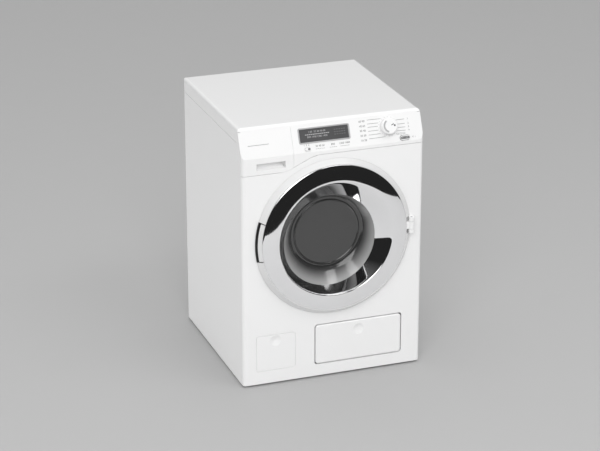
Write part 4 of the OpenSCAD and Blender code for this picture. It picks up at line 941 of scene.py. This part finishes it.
    def key_signs(self) -> None:
        """A bar and a ring on the right key, a dark half on the left one."""
        low, high = self.key_stand - 0.02, self.key_stand + 0.06
        sign = Shape().ribbon([(-2.6, -0.9), (-2.6, 0.9)], 0.4, low, high)
        sign.skin([[Vector((px, py, n)) for px, py in circle(1.9, 0, r, 24)] for r, n in ((1.05, low), (1.05, high), (0.7, high), (0.7, low))], True)
        sign.piece("power_key_sign", "power_key", SEGMENT, Face.PANEL.seat(*self.power), "keys")
        rings = [[Vector((px, py, n)) for px, py in rounded(0, 0, w, t, t / 2 - 0.01)] for w, t, n in ((9.9, 4.4, low), (9.8, 4.3, high), (9.1, 2.7, high), (9.1, 2.7, low))]
        Shape().skin(rings, True).piece("power_key_rim", "power_key", PANEL_ABS_PAINTED_SHADE, Face.PANEL.seat(*self.power), "keys")
        half = Shape().plate(rounded(1.1, 0.0, 2.6, 1.7, 0.8), low, high)
        half.piece("start_key_sign", "start_key", INK, Face.PANEL.seat(*self.start), "keys")


@dataclass
class Door:
    """The porthole door: bright ring with its funnel, smoked bowl, painted shadow in the finger recess, and screws."""

    ring_r: float = 74.0
    band_r: float = 79.2
    lip_r: float = 56.0
    lip_round: float = 2.5
    stand: float = 9.0
    ring_stand: float = 6.2
    base_top: float = 2.5
    lean: float = math.radians(5.0)
    neck: tuple[float, float] = (57.443, 8.766)
    funnel_r: float = 46.6
    funnel_in: float = 4.5
    funnel_shift: tuple[float, float] = (-1.984, -5.450)
    bowl_r: float = 36.4
    bowl_in: float = 17.0
    bead_w: float = 2.4
    bead_h: float = 0.7
    bowl_shift: tuple[float, float] = (-0.684, -1.879)
    wall: float = 1.6
    glass_t: float = 1.8
    flange: tuple[float, float, float] = (68.2, 1.7, 3.5)
    sleeve_r: float = 59.6
    screw_r: float = 64.8
    screw_count: int = 6
    handle: tuple[float, float] = (162.0, 192.0)
    recess_low: float = 1.3
    handle_low: float = 3.0

    def place(self) -> Matrix:
        """The door's axis on the front."""
        return Face.FRONT.seat(0.0, DOOR_Z)

    def build(self) -> None:
        """Makes the ring, the bowl, the recess and the screws."""
        self.ring()
        self.bowl()
        self.recess()
        self.screws()

    def face(self, r: float) -> float:
        """Height of the ring's face at a radius."""
        crown = self.lip_r + self.lip_round
        width = self.ring_r - crown
        bow = (self.stand - self.ring_stand - math.tan(self.lean) * width) / width**2
        return self.stand - math.tan(self.lean) * (r - crown) - bow * (r - crown) ** 2

    def bore(self, a: float, p: float) -> float:
        """Distance of the funnel's wall from the door's axis.

        Args:
            a: direction in radians.
            p: height over the front.

        Returns:
            The distance.
        """
        t = (self.neck[1] - p) / (self.neck[1] + self.funnel_in)
        r = self.neck[0] + (self.funnel_r - self.neck[0]) * t
        cx, cy = (s * t for s in self.funnel_shift)
        along = cx * math.cos(a) + cy * math.sin(a)
        aside = cx * math.sin(a) - cy * math.cos(a)
        return along + math.sqrt(r * r - aside * aside)

    def meridian(self, a: float) -> list[tuple[float, float]]:
        """Outline of the ring in one direction: face, lip, funnel and back.

        The lip's edge is eased into the funnel by a small bend, so that the
        mirror shows no crease.

        Args:
            a: the direction in radians.

        Returns:
            Distance and height of each point.
        """
        crown = self.lip_r + self.lip_round
        out = [(self.ring_r - 0.25, self.face(self.ring_r) - 0.18), (self.ring_r - 0.6, self.face(self.ring_r - 0.6))]
        out += [(self.ring_r - 0.6 - (self.ring_r - 0.6 - crown) * i / 14, self.face(self.ring_r - 0.6 - (self.ring_r - 0.6 - crown) * i / 14)) for i in range(1, 15)]
        top = self.stand - self.lip_round
        for turn in (2.5, 5.0):
            f = math.radians(turn)
            out.append((crown - self.lip_round * math.sin(f), top + self.lip_round * math.cos(f)))
        start = out[-1]
        knee = (self.bore(a, self.neck[1]), self.neck[1])
        end_p = self.neck[1] - 2.2
        end = (self.bore(a, end_p), end_p)
        for i in range(1, 11):
            t = i / 10
            out.append(tuple((1 - t) ** 2 * start[j] + 2 * t * (1 - t) * knee[j] + t * t * end[j] for j in (0, 1)))
        depths = [end_p - (end_p + self.funnel_in) * i / 12 for i in range(1, 13)]
        out += [(self.bore(a, p), p) for p in depths]
        out += [(self.bore(a, p) + self.wall, p) for p in reversed(depths[2:])]
        out += [(self.lip_r + self.wall + 1.5, self.neck[1] - 2.4), (self.ring_r - 2.0, self.ring_stand - 1.8)]
        out += [(self.ring_r - 2.0, self.base_top), (self.ring_r, self.base_top), (self.ring_r, self.ring_stand - 0.4)]
        return out

    def ring(self) -> None:
        """The bright ring with its funnel."""
        steps = 288
        rings = []
        for i in range(steps):
            a = 2 * math.pi * i / steps
            rings.append([Vector((r * math.cos(a), r * math.sin(a), p)) for r, p in self.meridian(a)])
        Shape().skin(rings, True).piece("bright_ring", "door", CHROME, self.place(), "bright_ring", 50, "door_ring")

    def bowl(self) -> None:
        """The smoked bowl: flange, sleeve, leaning cone and floor with an eased edge."""
        step = -self.funnel_in - 0.2
        inner = self.sleeve_r - self.glass_t
        top = (self.funnel_r + 0.2, step, *self.funnel_shift)
        floor = (self.bowl_r, -self.bowl_in, *self.bowl_shift)
        turn = math.atan2(self.bowl_in + step, top[0] - floor[0])
        blend_r = 5.0
        cut = blend_r * math.tan(turn / 2)
        part = 1 - cut / math.hypot(self.bowl_in + step, top[0] - floor[0])
        last = [top[i] + (floor[i] - top[i]) * part for i in range(4)]
        cone = [tuple(top[j] + (last[j] - top[j]) * k / 8 for j in range(4)) for k in range(9)]
        bend = []
        for i in range(1, 10):
            a = turn * (1 - i / 9)
            bend.append((floor[0] - cut + blend_r * math.sin(a), -self.bowl_in + blend_r * (1 - math.cos(a)), *self.bowl_shift))
        bead = []
        for i in range(1, 13):
            rise = self.bead_h * math.sin(math.pi * i / 12) ** 2
            bead.append((floor[0] - cut - self.bead_w * i / 12, rise - self.bowl_in, *self.bowl_shift))
        flat = [(floor[0] * k / 10, -self.bowl_in, *self.bowl_shift) for k in (7, 4, 1, 0)]
        seen = [(self.flange[0], self.flange[2], 0.0, 0.0), (inner, self.flange[2], 0.0, 0.0), (inner, step, 0.0, 0.0)] + cone + bend + bead + flat
        t = self.glass_t
        under = [(0.0, -self.bowl_in - t, *self.bowl_shift), (self.bowl_r - 3.0, -self.bowl_in - t, *self.bowl_shift)]
        under += [(self.bowl_r + 0.6, -self.bowl_in - t + 1.2, *self.bowl_shift), (self.funnel_r + t, step - t, *self.funnel_shift)]
        under += [(self.sleeve_r, step - t, 0.0, 0.0), (self.sleeve_r, self.flange[1], 0.0, 0.0), (self.flange[0], self.flange[1], 0.0, 0.0)]
        shape = Shape().turned(seen + under, 160)
        shape.piece("smoked_bowl", "door", SMOKED, self.place(), "smoked_bowl", 40, "door_glass")

    def recess(self) -> None:
        """Painted shadow: a black sheet lining the finger recess behind the handle."""
        # painted shadow: a black sheet where the gap behind the handle lies in shade
        low, high = self.recess_low + 0.02, self.handle_low - 0.05
        rim = self.band_r + 0.04
        floor = [(self.ring_r + 0.03, low), (rim - 0.3, low), (rim, 1.1), (rim, 0.55), (rim + 0.14, 0.55), (rim + 0.14, 1.15)]
        floor += [(rim - 0.2, low + 0.12), (self.ring_r + 0.28, low + 0.12)]
        floor += [(self.ring_r + 0.28, high), (self.ring_r + 0.03, high)]
        shadow_sheet = Shape().lathe(floor, 40, (self.handle[0] + 0.05, self.handle[1] - 0.05))
        cheek = [(self.ring_r + 0.28, low + 0.12), (self.band_r - 0.6, low + 0.12), (self.ring_r + 0.9, self.ring_stand - 0.75), (self.ring_r + 0.28, self.ring_stand - 0.75)]
        for first, last in ((0.05, 0.3), (-0.3, -0.05)):
            a = self.handle[0] if first > 0 else self.handle[1]
            shadow_sheet.lathe(cheek, 2, (a + first, a + last))
        shadow_sheet.piece("finger_recess_painted_shadow", "door", RECESS_PAINTED_SHADOW, self.place(), "door_handle")

    def screws(self) -> None:
        """The screws that clamp the glass, heads on the door's inner side."""
        one = screw(2.0, 0.68, 1.0, 4.8)
        ready = Shape().join(one, Matrix.Rotation(math.pi, 4, "X"))
        step = 2 * math.pi / self.screw_count
        circle_of = ready.grown(Repeat.ARC, STEEL, Count=self.screw_count, Radius=self.screw_r, First=step / 2, Step=step)
        circle_of.piece("door_cross_screws", "door", STEEL, Face.FRONT.seat(0.0, DOOR_Z, 1.2), "screws", stands_for="door_screws")


@dataclass
class DrumAndTub:
    """Bellows of the seal, and the drum's perforation rims, ribs and hub."""

    seal_r: float = 64.7
    opening_r: float = 67.1
    wall_t: float = 2.4
    tub_front: float = 28.0
    drum_r: float = 70.0
    drum_t: float = 1.5
    drum_in: float = 35.0
    drum_l: float = 93.0
    hole_r: float = 2.0
    rows: int = 3
    paddle_top: float = 54.5
    hub_r: float = 12.0

    def build(self) -> None:
        """Makes the seal and the drum's detail."""
        self.seal()
        self.rims()
        self.spokes()
        self.paddle_ribs()
        self.hub()

    def axis(self, out: float = 0.0) -> Matrix:
        """The drum's axis on the front."""
        return Face.FRONT.seat(0.0, DOOR_Z, out)

    def seal(self) -> None:
        """The rubber seal: a lip in the cabinet's opening and a folded sleeve to the tub."""
        t = self.wall_t
        sleeve = Shape().grown(
            Repeat.BELLOWS, SEAL_RUBBER, Stations=145, Radius=self.seal_r + 1.0, Wall=1.5, Depth=self.tub_front - 0.9, Folds=3.0, Fold=1.5
        )
        whole = Shape().join(sleeve, Matrix.Translation((0, 0, -0.5)))
        lip = [(self.seal_r, -0.5), (self.seal_r + 0.15, -0.2), (self.seal_r + 0.5, -0.04), (self.seal_r + 1.0, 0.0), (self.opening_r - 0.03, 0.0)]
        lip += [(self.opening_r - 0.03, -t), (self.opening_r + 1.2, -t - 0.02), (self.opening_r + 1.2, -t - 1.4), (self.opening_r + 0.9, -t - 1.6), (self.seal_r + 0.6, -t - 1.6), (self.seal_r, -t - 0.4)]
        whole.lathe(lip, 144)
        foot = [(self.seal_r + 0.4, -self.tub_front + 2.2), (self.seal_r + 3.2, -self.tub_front + 2.2), (self.seal_r + 4.0, -self.tub_front + 1.6)]
        foot += [(self.seal_r + 4.0, -self.tub_front), (self.seal_r, -self.tub_front), (self.seal_r, -self.tub_front + 1.8)]
        whole.lathe(foot, 144)
        whole.piece("folded_seal", "casing", SEAL_RUBBER, self.axis(), "seal", stands_for="door_seal")

    def rims(self) -> None:
        """Pressed rims round the drum's holes, on the inside."""
        out, inside = self.hole_r + 0.75, self.hole_r + 0.02
        section = [(inside, 0.06), (inside, -0.32), (inside + 0.2, -0.42), (out - 0.3, -0.28), (out, 0.06)]
        one = Shape().lathe(section, 16)
        wall = self.drum_r - self.drum_t
        upright = Shape().join(one, Matrix.Rotation(math.pi / 2, 4, "Y"))
        pitch = self.drum_l / (self.rows + 1)
        column = upright.grown(Repeat.ROW, DRUM_METAL, Count=self.rows, Pitch=(0.0, 0.0, -pitch))
        whole = Shape()
        for third in (30, 150, 270):
            step = math.radians(20)
            whole.join(column.grown(Repeat.ARC, DRUM_METAL, Count=4, Radius=wall, First=math.radians(third), Step=step))
        whole.piece("drum_hole_rims", "drum_unit", DRUM_METAL, self.axis(-self.drum_in - pitch), "drum_metal", 50)

    def spokes(self) -> None:
        """Pressed ribs on the drum's back wall and two steps round its mouth."""
        rib = Shape().stack([(rounded(0, 0, 34, 3.4, 1.6), -0.05), (rounded(0, 0, 32.6, 2.0, 0.9), 0.75)])
        ribs = rib.grown(Repeat.ARC, DRUM_METAL, Count=12, Radius=33.0, First=math.radians(15), Step=math.radians(30))
        whole = Shape().join(ribs, Matrix.Translation((0, 0, -self.drum_in - self.drum_l + self.drum_t)))
        front_in = -self.drum_in - self.drum_t
        whole.lathe([(58.2, front_in + 0.02), (60.5, front_in + 0.02), (60.2, front_in - 0.6), (58.5, front_in - 0.6)], 96)
        whole.piece("drum_pressings", "drum_unit", DRUM_METAL, self.axis(), "drum_metal")

    def paddle_ribs(self) -> None:
        """Grip ribs across the top of each paddle."""
        rib = Shape().stack([(rounded(0, 0, 1.6, 4.4, 0.5, 3), 0.0), (rounded(0, 0, 1.0, 3.6, 0.3, 3), 0.55)])
        lying = Shape().join(rib, Matrix.Rotation(-math.pi / 2, 4, "Y"))
        row = lying.grown(Repeat.ROW, SATIN_ABS, Count=11, Pitch=(0.0, 0.0, 7.2))
        three = row.grown(Repeat.ARC, SATIN_ABS, Count=3, Radius=self.paddle_top + 0.05, First=0.0, Step=2 * math.pi / 3)
        three.piece("paddle_grip_ribs", "drum_unit", SATIN_ABS, self.axis(-self.drum_in - self.drum_l + 8.0), "paddles")

    def hub(self) -> None:
        """Domed hub cap with two turned grooves."""
        r = self.hub_r
        section = [(0.0, 4.0), (2.0, 3.96), (2.4, 3.7), (2.8, 3.7), (3.2, 3.8), (6.6, 3.1), (7.0, 2.8), (7.4, 2.8), (7.8, 2.85), (10.4, 2.1), (r - 0.5, 1.7), (r - 0.1, 1.2), (r, 0.6), (r, 0.0), (0.0, 0.0)]
        cap = Shape().lathe(section, 64)
        cap.piece("turned_hub_cap", "drum_unit", DRUM_METAL, self.axis(-self.drum_in - self.drum_l + self.drum_t), "drum_metal", 50, "drum_hub_cap")


@dataclass
class Drive:
    """Ribs, terminals and small parts on what turns the drum."""

    tub_end: float = 135.0
    motor: tuple[float, float] = (42.0, 44.6)
    motor_front: float = 109.9
    motor_r: float = 14.0
    belt_in: float = 148.9

    def build(self) -> None:
        """Makes the tub's ribs, the motor's end and the board's parts."""
        rib = Shape().stack([(rounded(0, 0, 56, 1.8, 0.5, 2), 0.0), (rounded(0, 0, 55, 1.1, 0.3, 2), -1.4)])
        ribs = rib.grown(Repeat.ARC, TUB_PP, Count=16, Radius=44.0, First=math.radians(11.25), Step=math.radians(22.5))
        ribs.piece("tub_back_ribs", "casing", TUB_PP, Face.FRONT.seat(0.0, DOOR_Z, -self.tub_end + 0.02), "tub")
        end = Shape().lathe([(0.0, -0.05), (11.6, -0.05), (11.6, 0.6), (11.0, 1.1), (4.2, 1.1), (3.8, 2.2), (0.0, 2.2)], 48)
        tab = Shape().stack([(rounded(0, 0, 0.8, 3.0, 0.2, 2), 0.9), (rounded(0, 0, 0.8, 3.0, 0.2, 2), 4.6)])
        end.join(tab.grown(Repeat.ARC, CONTACT, Count=2, Radius=7.6, First=0.0, Step=math.pi))
        end.piece("motor_end_and_tabs", "casing", MOTOR, Face.FRONT.seat(*self.motor, -self.motor_front), "motor_can")
        self.board_parts()

    def board_parts(self) -> None:
        """Chips, capacitors and pins on the back of the circuit board."""
        chip = Shape().stack([(rounded(0, 0, 12.0, 7.0, 0.3, 2), 0.0), (rounded(0, 0, 11.6, 6.6, 0.3, 2), -1.9)])
        chips = chip.grown(Repeat.ROW, SWITCH, Count=3, Pitch=(22.0, 0.0, 0.0))
        chips.piece("board_chips", "casing", SWITCH, Face.PANEL.seat(-14.0, 12.0, -10.6), "board")
        pin = Shape().stack([(rounded(0, 0, 0.5, 1.2, 0.1, 2), 0.0), (rounded(0, 0, 0.4, 0.8, 0.1, 2), -1.0)])
        rows = pin.grown(Repeat.ROW, CONTACT, Count=8, Pitch=(1.4, 0.0, 0.0)).grown(Repeat.ROW, CONTACT, Count=2, Pitch=(0.0, 8.2, 0.0))
        rows = rows.grown(Repeat.ROW, CONTACT, Count=3, Pitch=(22.0, 0.0, 0.0))
        rows.piece("board_pins", "casing", CONTACT, Face.PANEL.seat(-18.9, 7.9, -10.6), "contacts")


@dataclass
class Drawer:
    """Numbers and level ribs in the detergent tray, and the drawer's grip."""

    tray: tuple[float, float] = (-84.2, -78.1)
    floor: float = 221.8
    inner: float = 11.47
    pitch: float = 12.87
    recess: tuple[float, float, float] = (-77.0, 222.6, 29.0)

    def build(self) -> None:
        """Makes the tray's numbers and ribs and the grip's scoop."""
        marks = Shape()
        for i, words in enumerate(("1", "2", "3")):
            marks.lettering(words, self.tray[0] + 1.4 + self.inner / 2 + i * self.pitch, self.tray[1] + 12.0, 4.0, -0.05, 0.4)
        bar = Shape().plate(rounded(0, 0, 6.0, 0.8, 0.3, 2), -0.05, 0.35)
        levels = bar.grown(Repeat.ROW, NYLON, Count=6, Pitch=(0.0, 7.0, 0.0)).grown(Repeat.ROW, NYLON, Count=3, Pitch=(self.pitch, 0.0, 0.0))
        marks.join(levels, Matrix.Translation((self.tray[0] + 1.4 + self.inner / 2, self.tray[1] + 22.0, 0.0)))
        marks.piece("tray_numbers_and_ribs", "drawer", NYLON, Face.LEVEL.seat(0.0, 0.0, self.floor), "drawer_inside")
        x, low, wide = self.recess
        rings = []
        for at in (x + 0.02, x + 0.5, x + wide - 3.2, x + wide - 1.2):
            high = 4.7 if at < x + wide - 2 else 2.2
            slope = [(-0.25 - 6.7 * t, low + 0.02 + high * t * t) for t in (0.0, 0.2, 0.4, 0.6, 0.8, 1.0)]
            rings.append([Vector((at, z, p)) for p, z in slope + [(-6.98, low + 0.01), (-0.25, low + 0.01)]])
        Shape().skin(rings).piece("drawer_grip_scoop", "drawer", PANEL_ABS_PAINTED_SHADE, Face.FRONT.seat())


@dataclass
class ServiceFlap:
    """The compartment behind the flap: ribs on the filter's rim and its arrow."""

    filter: tuple[float, float] = (26.7, 35.2)
    cap_r: float = 15.0
    face_in: float = 18.0
    back_in: float = 30.0
    grip: tuple[float, float, float] = (26.0, 5.0, 6.0)

    def build(self) -> None:
        """Makes the ribs on the filter's rim and its arrow."""
        rib = Shape().stack([(rounded(0, 0, 0.8, 1.5, 0.3, 2), 0.4), (rounded(0, 0, 0.8, 1.5, 0.3, 2), 11.0)])
        count = 30
        ribs = rib.grown(Repeat.ARC, ACETAL, Count=count, Radius=self.cap_r, First=0.0, Step=2 * math.pi / count)
        ribs.piece("filter_rim_ribs", "filter", ACETAL, Face.FRONT.seat(*self.filter, -self.back_in), "filter")
        arrow = Shape().ribbon([(11.5 * math.cos(math.radians(a)), 11.5 * math.sin(math.radians(a))) for a in range(35, 100, 8)], 1.2, -0.05, 0.4)
        arrow.plate([(8.4 * math.cos(1.72), 8.4 * math.sin(1.72)), (14.2 * math.cos(1.72), 14.2 * math.sin(1.72)), (11.4 * math.cos(2.02), 11.4 * math.sin(2.02))][::-1], -0.05, 0.4)
        arrow.piece("filter_arrow", "filter", SATIN_ABS, Face.FRONT.seat(*self.filter, -self.face_in), "filter")


@dataclass
class BackSide:
    """Battery springs, the loudspeaker's cone and the signs on the battery door."""

    box: tuple[float, float] = (-72.0, 14.6)
    cell: tuple[float, float] = (14.5, 50.5)
    cells: int = 4
    inner_high: float = 71.5
    contact_y: float = 85.35
    speaker: tuple[float, float] = (-45.0, 196.0)
    speaker_r: float = 20.0
    speaker_l: float = 12.0

    def build(self) -> None:
        """Makes the springs, the loudspeaker and the door's signs."""
        self.springs()
        self.loudspeaker()
        sign = Shape().plate([(-3.2, 0.0), (0.0, -3.6), (3.2, 0.0)], -0.02, 0.02)
        sign.ribbon([(0.0, 0.4), (0.0, 6.0)], 1.6, -0.02, 0.02)
        sign.piece("battery_door_arrow", "casing", FRAME_GREY_AND_PAINTED_SHADE, Face.BACK.seat(40.4, 60.0), "battery_case")

    def springs(self) -> None:
        """Contact plates and wound springs, one pair for each battery."""
        whole = Shape()
        for i in range(self.cells):
            x = self.box[0] + 1.6 + 1.0 + self.cell[0] * (i + 0.5)
            for low in (True, False):
                z = self.box[1] + 1.6 if low else self.inner_high - 0.5
                whole.join(Shape().plate(rounded(x, self.contact_y, 8.0, 8.0, 0.8, 3), z, z + 0.5))
            coil = Shape().grown(Repeat.COIL, CONTACT, Turns=4.0, Foot=3.1, Top=1.9, Height=3.6, Wire=0.28)
            if i % 2 == 0:
                whole.join(coil, Matrix.Translation((x, self.contact_y, self.box[1] + 1.6 + 0.5 + 0.25)))
            else:
                flip = Matrix.Translation((x, self.contact_y, self.inner_high - 0.75)) @ Matrix.Rotation(math.pi, 4, "X")
                whole.join(coil, flip)
        whole.piece("battery_springs", "casing", CONTACT, Face.LEVEL.seat(), "contacts", stands_for="battery_contacts")

    def loudspeaker(self) -> None:
        """Pressed frame, rolled surround, cone and dust cap over the magnet."""
        r = self.speaker_r
        section = [(0.0, -3.2), (3.0, -3.4), (5.2, -4.3), (5.6, -5.2), (14.6, -1.0), (15.2, -0.5), (16.0, -0.35), (16.8, -0.6), (17.2, -1.0), (r - 1.8, -0.4), (r - 1.4, 0.0), (r, 0.0)]
        section += [(r, -2.0), (r - 0.6, -2.4), (r / 2 + 0.6, -7.8), (r / 2, -8.0), (r / 2, -self.speaker_l + 0.4), (r / 2 - 0.4, -self.speaker_l), (0.0, -self.speaker_l)]
        cone = Shape().lathe(section, 64)
        cone.piece("speaker_cone", "casing", SPEAKER, Face.BACK.seat(-self.speaker[0], self.speaker[1], -2.4), "speaker", 30, "loudspeaker")


@dataclass
class Studio:
    """Floor, light and camera."""

    target: tuple[float, float, float] = (-0.914, 4.5, 124.194)
    azimuth: float = -19.905
    elevation: float = 21.426
    distance: float = 2227.93
    lens: float = 133.94

    def build(self) -> None:
        """Sets up the studio."""
        self.floor()
        self.world()
        self.lamp("key_softbox", (-700, -1650, 1300), (1300, 1300), 17.1)
        self.lamp("top_softbox", (-100, 100, 1900), (1300, 1300), 3.5)
        self.lamp("side_softbox", (587, -838, 1636), (950, 320), 3.4)
        self.camera()

    def sheet(self, name: str, outline: Loop, tone: str, high: float) -> bpy.types.Object:
        """A flat sheet at the height of the floor.

        Args:
            name: its name.
            outline: its corners.
            tone: its colour.
            high: its height.

        Returns:
            The sheet.
        """
        mesh = bpy.data.meshes.new(name)
        mesh.from_pydata([Vector((x, y, high)) * MM for x, y in outline], [], [tuple(range(len(outline)))])
        made = bpy.data.objects.new(name, mesh)
        bpy.context.scene.collection.objects.link(made)
        made.data.materials.append(Finish(name + " matt paint", tone, tone, 0.85, grain=2.0, relief=0.002).material())
        return made

    def floor(self) -> None:
        """The pale floor, and the table top that bright parts mirror."""
        wide = self.sheet("pale_floor", [(-9000, -9000), (9000, -9000), (9000, 9000), (-9000, 9000)], "b9b9b9", 0.0)
        wide.visible_glossy = False
        edge = [(-460, -420), (-300, -560), (-150, -600), (-30, -640), (60, -700), (130, -830), (240, -1020), (360, -1120)]
        edge += [(450, -1080), (560, -900), (800, -850), (2500, -800)]
        top = self.sheet("table_top", edge + [(2500, 3000), (-520, 3000), (-480, -240)], "e4e4e4", 0.5)
        top.visible_camera = False
        top.visible_diffuse = False
        top.visible_shadow = False
        top.visible_transmission = False

    def world(self) -> None:
        """Even light all round, dark where bright parts would mirror it."""
        world = bpy.data.worlds.new("studio_air")
        world.use_nodes = True
        bpy.context.scene.world = world
        tree = world.node_tree
        tree.nodes.clear()
        path = add(tree, "ShaderNodeLightPath")
        pale = add(tree, "ShaderNodeBackground", None, {"Color": linear("e8e8e8"), "Strength": 0.88})
        high = add(tree, "ShaderNodeSeparateXYZ", None, {0: add(tree, "ShaderNodeTexCoord").outputs["Generated"]}).outputs[2]
        ramp = add(tree, "ShaderNodeValToRGB", None, {"Fac": high})
        for stop, at, code in zip(ramp.color_ramp.elements, (0.42, 0.9), ("282828", "6e6e6e")):
            stop.position = at
            stop.color = linear(code)
        dark = add(tree, "ShaderNodeBackground", None, {"Color": ramp.outputs[0], "Strength": 1.0})
        mix = add(tree, "ShaderNodeMixShader", None, {0: path.outputs["Is Glossy Ray"], 1: pale.outputs[0], 2: dark.outputs[0]})
        add(tree, "ShaderNodeOutputWorld", None, {"Surface": mix.outputs[0]})

    def lamp(self, name: str, at: tuple[float, float, float], size: tuple[float, float], power: float) -> None:
        """One softbox aimed at the machine.

        Args:
            name: its name.
            at: where it hangs.
            size: its width and height.
            power: its watts.
        """
        light = bpy.data.lights.new(name, "AREA")
        light.energy = power
        light.shape = "RECTANGLE"
        light.size, light.size_y = size[0] * MM, size[1] * MM
        made = bpy.data.objects.new(name, light)
        made.location = Vector(at) * MM
        made.rotation_euler = (Vector(self.target) - Vector(at)).to_track_quat("-Z", "Y").to_euler()
        bpy.context.scene.collection.objects.link(made)

    def camera(self) -> None:
        """The camera at the photograph's angle."""
        lens = bpy.data.cameras.new("camera")
        lens.lens = self.lens
        lens.sensor_width = 36.0
        lens.clip_end = 50.0
        made = bpy.data.objects.new("camera", lens)
        a, e = math.radians(self.azimuth), math.radians(self.elevation)
        aim = Vector((math.sin(a) * math.cos(e), -math.cos(a) * math.cos(e), math.sin(e)))
        made.location = (Vector(self.target) + aim * self.distance) * MM
        made.rotation_euler = aim.to_track_quat("Z", "Y").to_euler()
        bpy.context.scene.collection.objects.link(made)
        bpy.context.scene.camera = made
        bpy.context.scene.view_settings.view_transform = "Standard"


def main() -> None:
    """Dresses the frame, then builds every sub-assembly in order and logs its name."""
    logging.basicConfig(level=logging.INFO, format="%(message)s")
    dress()
    for part in (Studio(), Casing(), ControlPanel(), Door(), DrumAndTub(), Drive(), Drawer(), ServiceFlap(), BackSide()):
        log.info("%s", type(part).__name__)
        part.build()


if __name__ == "__main__":
    main()
